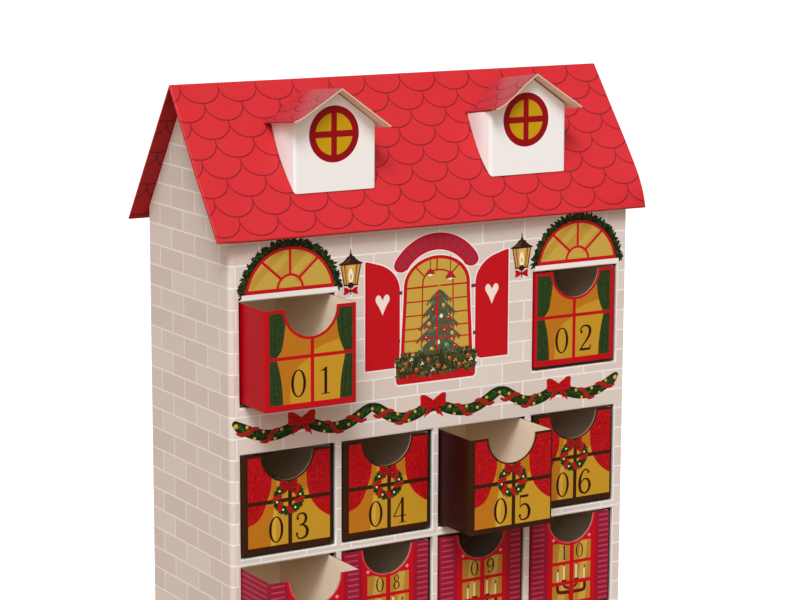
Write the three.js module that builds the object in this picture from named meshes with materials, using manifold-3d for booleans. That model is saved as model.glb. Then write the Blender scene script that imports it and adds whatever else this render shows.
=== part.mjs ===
// Advent calendar in the form of a town house: a tall wrapped-board carcass with a
// steep shingled roof, two dormers, and 24 card drawers that slide out of the front.
// Units are millimetres, +Z is up, the front faces -Y, and the origin is the centre
// of the underside, on the surface that the house stands on.

import * as THREE from "three";
import { mergeVertices } from "three/addons/utils/BufferGeometryUtils.js";
import Module from "manifold-3d";

// ---------------------------------------------------------------- dimensions
const WIDTH = 265; // carcass, left to right
const DEPTH = 99.4; // carcass, front to back
const SHELL = 2; // outer boards
const GAP = 0.3; // glue line between neighbouring boards

const RIDGE_Z = 593.5; // top of the ridge fold
const ROOF_RISE = 1.4569; // roof slope, rise over run
const ROOF_HALF_DEPTH = 55.7; // eave overhang line, from the middle
const ROOF_HALF_LENGTH = 142.8;
const ROOF_BOARD = 1.5;

const COLUMN_PITCH = 64.32;
const ROW_PITCH = 64;
const OPENING_W = 60;
const OPENING_H = 59;
const ROW_1_SILL = 419; // sill of the attic row, which has two drawers
const ROW_2_SILL = 333.4; // sill of the highest full row

const GRID_BOARD = 4; // inner boards, two layers glued together
const GRID_LIP = 1.7; // front frame seen below the boards over the top two rows
const LINER_BOARD = 3.6;
const LINER_INNER_X = 126.6; // inner face of the end boards of the grid
const SLOT_PLAY = 0.3; // each side of a cross-halving slot
const SHELF_STEP = 1.8; // each shelf's top stands this far above the opening's lower edge

const DRAWER_W = 56.8;
const DRAWER_H = 55.9;
const DRAWER_L = 93;
const DRAWER_CARD = 0.7;
const DRAWER_LIFT = 0.4; // drawer underside above its shelf
const DRAWER_PROUD = 1.2; // a shut drawer stands this far out of the front
const NOTCH_R = 16;
const OUT_01 = 25.2; // how far the three drawn drawers stand out, from shut
const OUT_05 = 30.6;
const OUT_07 = 31.2;
// Each drawer is a little narrower than its opening and lies where it was pushed, in mm to the right.
const SIDE_PLAY = [
  0, -0.7,
  -1.3, -1.3, -0.7, -0.5,
  -1.2, -1.2, -1.0, -1.2,
  -0.4, 0.5, -0.9, 0.2,
  -1.1, -0.3, 0.7, -0.6,
  0.3, -1.0, -0.2, 0.6,
  -0.8, 0.4,
];

const DORMER_CARD = 0.8;
// gable: the front wall's top line, from its right shoulder over the apex to its left shoulder;
// its ends are also the cheeks' outer faces; y: front wall at its foot; lean: how far its top
// comes forward; fall: how much the dormer ridge drops towards the back, per mm; bow: how far the
// left cheek bellies outwards at 0.3, 0.6 and all of its depth
const DORMERS = {
  left: {
    gable: [[-35.9, 570.1], [-61.5, 588.9], [-82.4, 577.4], [-87.8, 573.7]], y: -41.8, lean: 0.2, fall: 0.105,
    bow: [1.5, 1.9, 0.6],
    ridge: [-61.6, -49.3, 591.6],
    wing: [[30.2, -22.4], [0, 0], [-20.8, -12.0], [-26.3, -15.1], [-31.2, -16.7]],
  },
  right: {
    gable: [[93.8, 573.8], [69.6, 590.6], [61.0, 585.6], [50.5, 577.7], [41.4, 572.6]], y: -41, lean: -0.5, fall: 0.145,
    bow: [2.1, 2.1, 0.9],
    ridge: [69.6, -46.5, 593.6],
    wing: [[30.0, -20.4], [0, 0], [-8.6, -5.5], [-19.0, -13.3], [-23.9, -16.3], [-27.4, -18.0], [-30.1, -18.8]],
  },
};

// ---------------------------------------------------------------- materials
const paint = (color, roughness, metalness = 0) =>
  new THREE.MeshStandardMaterial({ color, roughness, metalness });
const brickPrint = paint(0xcdbcaf, 0.62);
const roofPrint = paint(0xe0343c, 0.5);
const whiteCard = paint(0xefe9e4, 0.6);
const shinglePrint = paint(0xcf4a50, 0.5);
const greyboard = paint(0x8a7a68, 0.85);
const liningPaper = paint(0x3a2c20, 0.8);
const redCard = paint(0xb8101c, 0.45);
const brownCard = paint(0x3c2018, 0.45);
const louvreCard = paint(0xa8304a, 0.45);

// ---------------------------------------------------------------- helpers
const wasm = await Module();
wasm.setup();

// A closed geometry as a solid that can be joined and cut.
function solid(geometry) {
  const bare = geometry.clone();
  bare.deleteAttribute("normal");
  bare.deleteAttribute("uv");
  const merged = mergeVertices(bare, 1e-4);
  return new wasm.Manifold(
    new wasm.Mesh({
      numProp: 3,
      vertProperties: new Float32Array(merged.attributes.position.array),
      triVerts: new Uint32Array(merged.index.array),
    }),
  );
}

function geometryOf(manifold) {
  const m = manifold.getMesh();
  const g = new THREE.BufferGeometry();
  const p = new Float32Array(m.numVert * 3);
  for (let i = 0; i < m.numVert; i++)
    for (let k = 0; k < 3; k++) p[3 * i + k] = m.vertProperties[m.numProp * i + k];
  g.setAttribute("position", new THREE.BufferAttribute(p, 3));
  g.setIndex(new THREE.BufferAttribute(new Uint32Array(m.triVerts), 1));
  const flat = g.toNonIndexed();
  flat.computeVertexNormals();
  return flat;
}

function outline(points) {
  return new THREE.Shape(points.map(([a, b]) => new THREE.Vector2(a, b)));
}

// Outline in the XZ plane, extruded from y0 to y1.
function alongY(shape, y0, y1) {
  const g = new THREE.ExtrudeGeometry(shape, { depth: y1 - y0, bevelEnabled: false, curveSegments: 14 });
  g.rotateX(Math.PI / 2); // (x, y, z) -> (x, -z, y)
  return g.translate(0, y1, 0);
}

// Outline in the YZ plane, extruded from x0 to x1.
function alongX(shape, x0, x1) {
  const g = new THREE.ExtrudeGeometry(shape, { depth: x1 - x0, bevelEnabled: false });
  g.rotateX(Math.PI / 2).rotateZ(Math.PI / 2); // (y, z, depth) -> (depth, y, z)
  return g.translate(x0, 0, 0);
}

// Outline in the XY plane, extruded from z0 to z1.
function alongZ(shape, z0, z1) {
  const g = new THREE.ExtrudeGeometry(shape, { depth: z1 - z0, bevelEnabled: false });
  return g.translate(0, 0, z0);
}

function box(x0, x1, y0, y1, z0, z1) {
  const g = new THREE.BoxGeometry(x1 - x0, y1 - y0, z1 - z0);
  return g.translate((x0 + x1) / 2, (y0 + y1) / 2, (z0 + z1) / 2);
}

const calendar = new THREE.Group();
function add(name, geometry, material, parent = calendar) {
  const mesh = new THREE.Mesh(geometry, material);
  mesh.name = name;
  parent.add(mesh);
  return mesh;
}

// ---------------------------------------------------------------- layout
const HALF_W = WIDTH / 2;
const HALF_D = DEPTH / 2;
const FRONT_Y = -HALF_D;
const INNER_FRONT = FRONT_Y + SHELL + GAP; // first free plane behind the front panel
const INNER_BACK = HALF_D - SHELL - GAP;
const cosRoof = 1 / Math.hypot(1, ROOF_RISE);
const roofTop = (y) => RIDGE_Z - ROOF_RISE * Math.abs(y);
const wallTop = (y) => roofTop(y) - (ROOF_BOARD + GAP) / cosRoof;

const columnX = [-1.5, -0.5, 0.5, 1.5].map((k) => k * COLUMN_PITCH);
const sill = [ROW_1_SILL];
for (let r = 0; r < 6; r++) sill.push(ROW_2_SILL - r * ROW_PITCH);
const shelfTop = sill.map((z) => z + SHELF_STEP);

// Drawers in reading order: two in the attic row, five rows of four, two on the ground floor.
const cells = [];
[[0, 3], [0, 1, 2, 3], [0, 1, 2, 3], [0, 1, 2, 3], [0, 1, 2, 3], [0, 1, 2, 3], [0, 3]].forEach(
  (columns, row) => columns.forEach((c) => cells.push({ x: columnX[c], z: sill[row] })),
);

// ---------------------------------------------------------------- carcass
const carcass = new THREE.Group();
calendar.add(carcass);

// Front panel: one board with an opening for each drawer.
let panel = solid(box(-HALF_W, HALF_W, FRONT_Y, FRONT_Y + SHELL, 0, wallTop(HALF_D)));
for (const { x, z } of cells)
  panel = panel.subtract(
    solid(box(x - OPENING_W / 2, x + OPENING_W / 2, FRONT_Y - 1, FRONT_Y + SHELL + 1, z, z + OPENING_H)),
  );
add("front_panel", geometryOf(panel), brickPrint, carcass);
add("back_panel", box(-HALF_W, HALF_W, HALF_D - SHELL, HALF_D, 0, wallTop(HALF_D)), brickPrint, carcass);

// Side walls with their gables, between the front and back panels.
const gable = outline([
  [INNER_FRONT, 0], [INNER_BACK, 0], [INNER_BACK, wallTop(INNER_BACK)], [0, wallTop(0)],
  [INNER_FRONT, wallTop(INNER_FRONT)],
]);
add("left_side_wall", alongX(gable, -HALF_W, -HALF_W + SHELL), brickPrint, carcass);
add("right_side_wall", alongX(gable, HALF_W - SHELL, HALF_W), brickPrint, carcass);

const innerX = HALF_W - SHELL - GAP;
add("base_panel", box(-innerX, innerX, INNER_FRONT, INNER_BACK, 0, SHELL), greyboard, carcass);
const LOFT_Z = ROW_1_SILL + OPENING_H + GRID_LIP;
add("loft_board", box(-innerX, innerX, INNER_FRONT, INNER_BACK, LOFT_Z, LOFT_Z + SHELL), greyboard, carcass);

// ---------------------------------------------------------------- inner grid
// Shelves and uprights halve into each other at the middle of the depth:
// shelves are slotted from the back, uprights from the front.
const shelfSpan = LINER_INNER_X - GAP;
const uprightX = [-COLUMN_PITCH, 0, COLUMN_PITCH];
const slotHalf = GRID_BOARD / 2 + SLOT_PLAY;
const gridFoot = SHELL + GAP;
const gridHead = LOFT_Z - GAP;

function shelf(name, top, slotsAt) {
  const pts = [[-shelfSpan, INNER_FRONT], [shelfSpan, INNER_FRONT], [shelfSpan, INNER_BACK]];
  for (const x of [...slotsAt].reverse())
    pts.push([x + slotHalf, INNER_BACK], [x + slotHalf, -GAP / 2], [x - slotHalf, -GAP / 2], [x - slotHalf, INNER_BACK]);
  pts.push([-shelfSpan, INNER_BACK]);
  add(name, alongZ(outline(pts), top - GRID_BOARD, top), liningPaper, carcass);
}

const outer = [uprightX[0], uprightX[2]];
const rowCeiling = ROW_2_SILL + OPENING_H + GRID_LIP; // underside of the board over row 2
shelfTop.forEach((z, i) => shelf(`shelf_row_${i + 1}`, z, i >= 1 && i <= 4 ? uprightX : outer));
add(
  "ceiling_row_2",
  (() => {
    const pts = [[-shelfSpan, INNER_FRONT], [shelfSpan, INNER_FRONT], [shelfSpan, INNER_BACK]];
    for (const x of [...outer].reverse())
      pts.push([x + slotHalf, INNER_BACK], [x + slotHalf, -GAP / 2], [x - slotHalf, -GAP / 2], [x - slotHalf, INNER_BACK]);
    pts.push([-shelfSpan, INNER_BACK]);
    return alongZ(outline(pts), rowCeiling, rowCeiling + GRID_BOARD);
  })(),
  liningPaper,
  carcass,
);

function upright(name, x, z0, z1, tops) {
  const pts = [[INNER_BACK, z0], [INNER_BACK, z1], [INNER_FRONT, z1]];
  for (const t of tops)
    pts.push([INNER_FRONT, t + SLOT_PLAY], [GAP / 2, t + SLOT_PLAY],
      [GAP / 2, t - GRID_BOARD - SLOT_PLAY], [INNER_FRONT, t - GRID_BOARD - SLOT_PLAY]);
  pts.push([INNER_FRONT, z0]);
  add(name, alongX(outline(pts), x - GRID_BOARD / 2, x + GRID_BOARD / 2), liningPaper, carcass);
}
const boards = [shelfTop[0], rowCeiling + GRID_BOARD, ...shelfTop.slice(1)];
upright("upright_left", uprightX[0], gridFoot, gridHead, boards);
upright("upright_right", uprightX[2], gridFoot, gridHead, boards);
upright("upright_centre", 0, shelfTop[5] + GAP, rowCeiling - GAP, shelfTop.slice(1, 5));

const liner = [INNER_FRONT, INNER_BACK, gridFoot, gridHead];
add("liner_left", box(-LINER_INNER_X - LINER_BOARD, -LINER_INNER_X, ...liner), liningPaper, carcass);
add("liner_right", box(LINER_INNER_X, LINER_INNER_X + LINER_BOARD, ...liner), liningPaper, carcass);

// ---------------------------------------------------------------- roof
const s = Math.hypot(1, ROOF_RISE);
const into = [(ROOF_BOARD * ROOF_RISE) / s, -ROOF_BOARD / s]; // across the board, on the front slope
const eaveZ = roofTop(ROOF_HALF_DEPTH);
const roofSection = outline([
  [-ROOF_HALF_DEPTH, eaveZ],
  [-ROOF_HALF_DEPTH + into[0], eaveZ + into[1]],
  [0, RIDGE_Z - ROOF_BOARD / cosRoof],
  [ROOF_HALF_DEPTH - into[0], eaveZ + into[1]],
  [ROOF_HALF_DEPTH, eaveZ],
  [0, RIDGE_Z],
]);
add("roof_board", alongX(roofSection, -ROOF_HALF_LENGTH, ROOF_HALF_LENGTH), roofPrint, carcass);

// Everything under the top face of the front slope and its glue line, used to trim the dormers.
const lift = GAP / cosRoof;
const underRoof = solid(
  alongX(
    outline([[-120, roofTop(120) + lift], [-120, 300], [60, 300], [60, RIDGE_Z + lift], [0, RIDGE_Z + lift]]),
    -200, 200,
  ),
);

// ---------------------------------------------------------------- dormers
function dormerBody({ gable, y, lean, fall, bow }) {
  const foot = roofTop(y);
  const [xR, eaveR] = gable[0];
  const [xL, eaveL] = gable[gable.length - 1];
  const front = alongY(outline([[xL, foot - 4], [xR, foot - 4], ...gable]), y, y + DORMER_CARD);
  // lean the front wall forward about its foot
  const k = lean / (eaveL - foot);
  front.applyMatrix4(new THREE.Matrix4().set(1, 0, 0, 0, 0, 1, -k, k * foot, 0, 0, 1, 0, 0, 0, 0, 1));
  // side cheek: its top edge falls towards the back until it meets the roof
  const back = (eave) => (eave + fall * y - RIDGE_Z) / (ROOF_RISE + fall);
  const cheek = (eave) => outline([
    [y + k * 4, foot - 4], [back(eave) + 2, foot - 4], [back(eave) + 2, eave - fall * (back(eave) + 2 - y)],
    [y - k * (eave - foot), eave],
  ]);
  // the left cheek's belly, seen from above
  const reach = back(eaveL) - y;
  const belly = [[xL, y - 2], [xL, y], [xL - bow[0], y + 0.3 * reach], [xL - bow[1], y + 0.6 * reach], [xL - bow[2], y + reach + 2]];
  const strip = alongZ(
    outline([...belly, ...belly.map(([a, b]) => [a + DORMER_CARD, b]).reverse()]), foot - 5, eaveL + 2,
  );
  return geometryOf(
    solid(front)
      .add(solid(alongX(cheek(eaveL), xL - 5, xL + DORMER_CARD)).intersect(solid(strip)))
      .add(solid(alongX(cheek(eaveR), xR - DORMER_CARD, xR)))
      .subtract(underRoof),
  );
}

function dormerRoof({ ridge, wing, fall }) {
  // folded card: the upper line of the section, and the same line one card thickness lower
  const t = DORMER_CARD;
  const lower = wing.map(([a, b], i) => {
    const p = wing[Math.max(i - 1, 0)], q = wing[Math.min(i + 1, wing.length - 1)];
    const n = [-(q[1] - p[1]), q[0] - p[0]];
    const l = Math.hypot(...n) || 1;
    const bend = i === 1 ? 1.16 : 1;
    return [a + (n[0] / l) * t * bend, b + (n[1] / l) * t * bend];
  });
  const section = outline([...wing, ...lower.reverse()]);
  const card = alongY(section, 0, 60);
  card.rotateX(-Math.atan(fall)).translate(...ridge);
  return geometryOf(solid(card).subtract(underRoof));
}

for (const side of ["left", "right"]) {
  add(`dormer_${side}_body`, dormerBody(DORMERS[side]), whiteCard, carcass);
  add(`dormer_${side}_roof`, dormerRoof(DORMERS[side]), shinglePrint, carcass);
}

// ---------------------------------------------------------------- drawers
// Open card tray with a half-round finger notch in its front wall. Its own frame has
// its origin at the foot of the front wall's outer face, in the middle.
const drawerShape = (() => {
  const w = DRAWER_W / 2, c = DRAWER_CARD;
  const notch = new THREE.Shape();
  notch.moveTo(-NOTCH_R, DRAWER_H + 5);
  notch.lineTo(-NOTCH_R, DRAWER_H);
  notch.absarc(0, DRAWER_H, NOTCH_R, Math.PI, 2 * Math.PI, false);
  notch.lineTo(NOTCH_R, DRAWER_H + 5);
  return geometryOf(
    solid(box(-w, w, 0, DRAWER_L, 0, DRAWER_H))
      .subtract(solid(box(-w + c, w - c, c, DRAWER_L - c, c, DRAWER_H + 5)))
      .subtract(solid(alongY(notch, -2, c + 2))),
  );
})();

const drawnOut = { 1: OUT_01, 5: OUT_05, 7: OUT_07 };
cells.forEach(({ x, z }, i) => {
  const number = i + 1;
  const material = number <= 2 ? redCard : number <= 6 ? brownCard : louvreCard;
  const drawer = new THREE.Group();
  drawer.position.set(
    x + SIDE_PLAY[i], FRONT_Y - DRAWER_PROUD - (drawnOut[number] ?? 0), z + SHELF_STEP + DRAWER_LIFT,
  );
  add(`drawer_${String(number).padStart(2, "0")}`, drawerShape, material, drawer);
  calendar.add(drawer);
});

export default calendar;
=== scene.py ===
"""Looks of the advent calendar house: printed wrap, roof, dormers and numbered drawers."""
import math
import random

import bpy
import numpy as np
from mathutils import Matrix, Vector, kdtree
from mathutils.geometry import delaunay_2d_cdt


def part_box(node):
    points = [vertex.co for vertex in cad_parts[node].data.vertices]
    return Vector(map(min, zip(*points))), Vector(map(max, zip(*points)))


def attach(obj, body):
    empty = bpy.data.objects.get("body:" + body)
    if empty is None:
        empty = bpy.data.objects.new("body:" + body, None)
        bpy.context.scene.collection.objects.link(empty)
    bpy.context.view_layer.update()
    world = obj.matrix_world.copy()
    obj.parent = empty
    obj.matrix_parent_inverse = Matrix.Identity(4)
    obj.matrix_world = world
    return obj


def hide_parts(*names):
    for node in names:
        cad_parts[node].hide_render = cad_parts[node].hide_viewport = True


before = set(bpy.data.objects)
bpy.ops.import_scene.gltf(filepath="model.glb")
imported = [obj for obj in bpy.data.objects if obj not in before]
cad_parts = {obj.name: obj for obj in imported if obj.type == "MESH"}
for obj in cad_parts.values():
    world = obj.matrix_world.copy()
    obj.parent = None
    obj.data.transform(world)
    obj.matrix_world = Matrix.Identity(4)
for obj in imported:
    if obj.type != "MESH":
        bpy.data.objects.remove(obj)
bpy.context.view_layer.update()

# The print is laid out in brick courses: X from the left wall, Z from a course near the top,
# Y from the front. One course is 12 mm.
U = 0.012
OX, OY, OZ = -11.04, -4.14, 41.5


def metres(x, y, z):
    return np.stack([(x + OX) * U, (y + OY) * U, (z + OZ) * U], -1)


def course_x(m):
    return m / U - OX


def course_z(m):
    return m / U - OZ


# ---------------------------------------------------------------- inks and papers
def linear(rgb):
    return [(c / 255 / 12.92) if c <= 10.31 else ((c / 255 + 0.055) / 1.055) ** 2.4 for c in rgb]


GAIN = 0.95  # a print's own reflectance for the tone it has under this light
SHEEN = 0.006  # the part of that tone that comes from its gloss


def tone(rgb):
    return [max(c * GAIN - SHEEN, 0.0012) for c in linear(rgb)] + [1.0]


INKS = {
    # wall
    "mortar": ((243, 236, 231), "wrap"),
    # lip: lighter than the bricks; as a ring round each opening it is a painted highlight on the rounded lip. The
    # board's cut edges use it too
    "lip": ((237, 228, 221), "wrap"),
    "brick_a": ((224, 208, 199), "wrap"),
    "brick_b": ((221, 204, 194), "wrap"),
    "brick_c": ((226, 212, 203), "wrap"),
    "brick_d": ((223, 206, 195), "wrap"),
    "brick_e": ((219, 203, 193), "wrap"),
    "board_inside": ((120, 103, 84), "board"),
    # red, green and gold print
    "print_red": ((198, 26, 35), "print"),
    "print_red_dark": ((168, 14, 28), "print"),
    "arch_edge": ((190, 30, 44), "print"),
    "arch_brick": ((164, 48, 66), "print"),
    "hinge": ((136, 44, 60), "print"),
    "cream": ((246, 228, 216), "print"),
    "gold_light": ((203, 166, 74), "print"),
    "gold_dark": ((194, 150, 62), "print"),
    "muntin": ((182, 44, 26), "print"),
    "leaf_1": ((26, 38, 16), "print"),
    "leaf_2": ((38, 54, 22), "print"),
    "leaf_3": ((56, 76, 32), "print"),
    "leaf_4": ((40, 72, 38), "print"),
    "leaf_brown": ((80, 48, 28), "print"),
    "leaf_lit": ((92, 140, 84), "print"),
    "rope_1": ((30, 46, 22), "print"),
    "rope_2": ((44, 76, 38), "print"),
    "rope_3": ((58, 96, 48), "print"),
    "berry": ((176, 36, 30), "print"),
    "bead_gold": ((204, 156, 60), "print"),
    "bead_light": ((232, 196, 112), "print"),
    "bow": ((190, 20, 30), "print"),
    "bow_shade": ((132, 10, 22), "print"),
    "iron": ((58, 32, 28), "print"),
    "iron_light": ((92, 56, 48), "print"),
    "lamp_amber": ((206, 152, 70), "print"),
    "lamp_pale": ((222, 178, 100), "print"),
    "flame": ((250, 240, 212), "print"),
    "needle_1": ((86, 90, 68), "print"),
    "needle_2": ((112, 114, 90), "print"),
    "needle_3": ((64, 70, 52), "print"),
    "door_red": ((172, 22, 28), "print"),
    "door_shade": ((128, 14, 22), "print"),
    "stone": ((190, 178, 170), "print"),
    "pot": ((150, 74, 46), "print"),
    "ornament": ((158, 78, 48), "print"),
    "olive_1": ((52, 54, 30), "print"),
    "olive_2": ((78, 82, 46), "print"),
    "olive_3": ((104, 106, 66), "print"),
    # roof
    "roof_red": ((200, 43, 49), "roof"),
    "roof_line": ((138, 30, 38), "roof"),
    # the roof's underside carries the same print as its top, in darker copies: painted shade
    "under_red": ((176, 26, 31), "roof"),
    "under_line": ((92, 22, 26), "roof"),
    "dormer_red": ((188, 54, 62), "gloss"),
    "dormer_line": ((122, 26, 38), "gloss"),
    "dormer_under": ((250, 232, 208), "card"),
    "dormer_edge": ((226, 196, 164), "card"),
    "white_card": ((247, 244, 241), "card"),
    "round_red": ((150, 4, 30), "print"),
    "round_gold": ((202, 156, 26), "print"),
    # drawers
    "drawer_red": ((192, 10, 32), "drawer"),
    "drawer_red_side": ((188, 14, 34), "drawer"),
    "drawer_brown": ((60, 34, 22), "drawer"),
    "drawer_brown_side": ((54, 20, 6), "drawer"),
    "drawer_gold": ((198, 148, 44), "drawer"),
    "drawer_gold_deep": ((188, 117, 32), "drawer"),
    "drawer_gold_pale": ((212, 166, 62), "drawer"),
    "curtain_green": ((48, 66, 34), "glitter"),
    "curtain_red": ((182, 3, 28), "glitter"),
    "louvre": ((150, 30, 54), "drawer"),
    "louvre_pale": ((186, 66, 90), "drawer"),
    "louvre_plain": ((164, 20, 48), "drawer"),
    "door_frame": ((196, 2, 32), "drawer"),
    "star": ((238, 148, 158), "drawer"),
    "candle_flame": ((152, 42, 26), "drawer"),
    "pane": ((202, 160, 72), "drawer"),
    "pane_deep": ((184, 130, 48), "drawer"),
    "pink_line": ((222, 76, 92), "drawer"),
    "candle": ((232, 210, 172), "drawer"),
    "holder": ((100, 26, 20), "drawer"),
    "digit": ((50, 27, 12), "drawer"),
    "cream_card": ((254, 232, 206), "inside"),
    "card_edge": ((176, 152, 124), "card"),
    "wreath_green": ((34, 58, 24), "drawer"),
    "wreath_green_2": ((54, 84, 34), "drawer"),
    "wreath_red": ((200, 16, 30), "drawer"),
    "wreath_bow": ((166, 14, 28), "drawer"),
    "wreath_bow_line": ((92, 10, 16), "drawer"),
    "wreath_red_2": ((150, 8, 22), "drawer"),
    "wreath_cream": ((238, 220, 166), "drawer"),
}

# kind: roughness low and high, its grain per metre, fine bump height in mm and grain, broad bump height in mm and grain
FINISH = {
    "wrap": (0.46, 0.60, 60, 0.010, 2600, 0.10, 22),
    "print": (0.42, 0.56, 60, 0.008, 2600, 0.10, 22),
    "roof": (0.38, 0.52, 45, 0.007, 2400, 0.12, 16),
    "gloss": (0.24, 0.34, 50, 0.005, 2200, 0.16, 24),
    "card": (0.50, 0.64, 80, 0.014, 2000, 0.06, 30),
    "drawer": (0.40, 0.52, 70, 0.008, 2600, 0.10, 30),
    "inside": (0.55, 0.68, 90, 0.016, 1800, 0.10, 26),
    "board": (0.72, 0.88, 120, 0.030, 1500, 0.05, 40),
    "glitter": (0.34, 0.62, 900, 0.030, 3200, 0.08, 30),
}
GLOSS = {"roof": 0.24, "gloss": 0.48, "glitter": 0.12, "card": 0.25, "inside": 0.2, "board": 0.15, "wrap": 0.2}
made = {}


def new_material(name):
    m = bpy.data.materials.new(name)
    m.use_nodes = True
    t = m.node_tree
    t.nodes.clear()
    out = t.nodes.new("ShaderNodeOutputMaterial")
    s = t.nodes.new("ShaderNodeBsdfPrincipled")
    t.links.new(s.outputs[0], out.inputs[0])
    return m, t, s


def noise(t, coords, scale, detail=2.0, rough=0.5):
    n = t.nodes.new("ShaderNodeTexNoise")
    n.inputs["Scale"].default_value = scale
    n.inputs["Detail"].default_value = detail
    n.inputs["Roughness"].default_value = rough
    t.links.new(coords, n.inputs["Vector"])
    return n.outputs[0]


def spread(t, value, lo, hi, a=0.3, b=0.7):
    m = t.nodes.new("ShaderNodeMapRange")
    m.inputs["From Min"].default_value = a
    m.inputs["From Max"].default_value = b
    m.inputs["To Min"].default_value = lo
    m.inputs["To Max"].default_value = hi
    t.links.new(value, m.inputs["Value"])
    return m.outputs[0]


def bump(t, height, mm, onto=None):
    b = t.nodes.new("ShaderNodeBump")
    b.inputs["Strength"].default_value = 1.0
    b.inputs["Distance"].default_value = mm / 1000
    t.links.new(height, b.inputs["Height"])
    if onto is not None:
        t.links.new(onto, b.inputs["Normal"])
    return b.outputs[0]


def ink(key):
    """The material of one ink on its paper."""
    if key in made:
        return made[key]
    rgb, kind = INKS[key]
    lo, hi, grain, fine, fine_grain, broad, broad_grain = FINISH[kind]
    m, t, s = new_material(key)
    colour = tone(rgb)
    s.inputs["Specular IOR Level"].default_value = GLOSS.get(kind, 0.15)
    where = t.nodes.new("ShaderNodeTexCoord").outputs["Object"]
    s.inputs["Base Color"].default_value = colour
    t.links.new(spread(t, noise(t, where, grain, 3.0), lo, hi), s.inputs["Roughness"])
    wave = bump(t, noise(t, where, broad_grain, 1.0), broad)
    if kind == "glitter":
        # the Voronoi cells give the glitter flakes a random tone; the brightest cells, up to half as bright again and a
        # little whitened, are painted glints. Their bump gives real glints besides
        v = t.nodes.new("ShaderNodeTexVoronoi")
        v.inputs["Scale"].default_value = 2300
        t.links.new(where, v.inputs["Vector"])
        ramp = t.nodes.new("ShaderNodeValToRGB")
        e = ramp.color_ramp.elements
        e[0].position, e[0].color = 0.0, [c * 0.72 for c in colour[:3]] + [1]
        e[1].position, e[1].color = 1.0, [min(1, c * 1.5 + 0.015) for c in colour[:3]] + [1]
        mid = e.new(0.75)
        mid.color = colour
        split = t.nodes.new("ShaderNodeSeparateColor")
        t.links.new(v.outputs["Color"], split.inputs[0])
        t.links.new(split.outputs[0], ramp.inputs[0])
        t.links.new(ramp.outputs[0], s.inputs["Base Color"])
        t.links.new(bump(t, split.outputs[1], 0.02, wave), s.inputs["Normal"])
    else:
        t.links.new(bump(t, noise(t, where, fine_grain, 2.0), fine, wave), s.inputs["Normal"])
    made[key] = m
    return m


def board_material(name, rgb_a, rgb_b, grain, rough=(0.7, 0.86)):
    """Uncoated board with its fibres, or the dark brown of the cells' inner boards, which is painted shade."""
    m, t, s = new_material(name)
    where = t.nodes.new("ShaderNodeTexCoord").outputs["Object"]
    ramp = t.nodes.new("ShaderNodeValToRGB")
    e = ramp.color_ramp.elements
    e[0].position, e[0].color = 0.35, tone(rgb_a)
    e[1].position, e[1].color = 0.65, tone(rgb_b)
    t.links.new(noise(t, where, grain, 5.0, 0.65), ramp.inputs[0])
    t.links.new(ramp.outputs[0], s.inputs["Base Color"])
    t.links.new(spread(t, noise(t, where, 150, 2.0), *rough), s.inputs["Roughness"])
    t.links.new(bump(t, noise(t, where, 1600, 3.0), 0.03), s.inputs["Normal"])
    return m


# ---------------------------------------------------------------- plane figures
def arr(points):
    return np.asarray(points, float)


def arc(cx, cz, rx, rz, a0, a1, n=24):
    a = np.radians(np.linspace(a0, a1, n + 1))
    return np.stack([cx + rx * np.cos(a), cz + rz * np.sin(a)], 1)


def ellipse(cx, cz, rx, rz, n=20, turn=0.0):
    a = np.radians(np.linspace(0, 360, n, endpoint=False) + turn)
    return np.stack([cx + rx * np.cos(a), cz + rz * np.sin(a)], 1)


def rect(x0, x1, z0, z1):
    return arr([(x0, z0), (x1, z0), (x1, z1), (x0, z1)])


def round_rect(x0, x1, z0, z1, r, n=5):
    r = [r] * 4 if np.isscalar(r) else r  # lower left, lower right, upper right, upper left
    out = []
    for (cx, cz), q, a in (
        ((x0 + r[0], z0 + r[0]), r[0], 180), ((x1 - r[1], z0 + r[1]), r[1], 270),
        ((x1 - r[2], z1 - r[2]), r[2], 0), ((x0 + r[3], z1 - r[3]), r[3], 90),
    ):
        if q < 1e-9:
            out.append([(cx, cz)])
        else:
            out.append(arc(cx, cz, q, q, a, a + 90, n))
    return np.concatenate([arr(o) for o in out])


def ring(outer, inner):
    """A ring as one outline: round the outside, then back round the inside."""
    outer, inner = arr(outer), arr(inner)[::-1]
    return np.concatenate([outer, outer[:1], inner, inner[:1]])


def smooth(points, n=6, closed=False):
    p = arr(points)
    out = []
    k = len(p)
    for i in range(k if closed else k - 1):
        a, b, c, d = (
            (p[(i - 1) % k], p[i], p[(i + 1) % k], p[(i + 2) % k]) if closed
            else (p[max(i - 1, 0)], p[i], p[i + 1], p[min(i + 2, k - 1)])
        )
        for s in range(n):
            t = s / n
            out.append(0.5 * (2 * b + (c - a) * t + (2 * a - 5 * b + 4 * c - d) * t ** 2 + (3 * b - a - 3 * c + d) * t ** 3))
    if not closed:
        out.append(p[-1])
    return arr(out)


def stroke(points, width):
    """The outline of a line of this width, or of a width for each point."""
    p = arr(points)
    w = np.broadcast_to(np.asarray(width, float), (len(p),)) / 2
    d = np.gradient(p, axis=0)
    d /= np.maximum(np.linalg.norm(d, axis=1), 1e-9)[:, None]
    n = np.stack([-d[:, 1], d[:, 0]], 1) * w[:, None]
    return np.concatenate([p + n, (p - n)[::-1]])


def moved(poly, dx=0.0, dz=0.0, scale=1.0, turn=0.0, flip=False):
    p = arr(poly) * scale
    if flip:
        p = p * [-1, 1]
    c, s = math.cos(math.radians(turn)), math.sin(math.radians(turn))
    return p @ arr([[c, s], [-s, c]]) + [dx, dz]


def leaf(x, z, angle, length, width):
    """A pointed leaf that starts at x, z."""
    p = arr([(0, 0), (0.3, 0.42), (0.62, 0.4), (1, 0), (0.62, -0.4), (0.3, -0.42)]) * [length, width]
    return moved(p, x, z, turn=angle)


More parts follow.
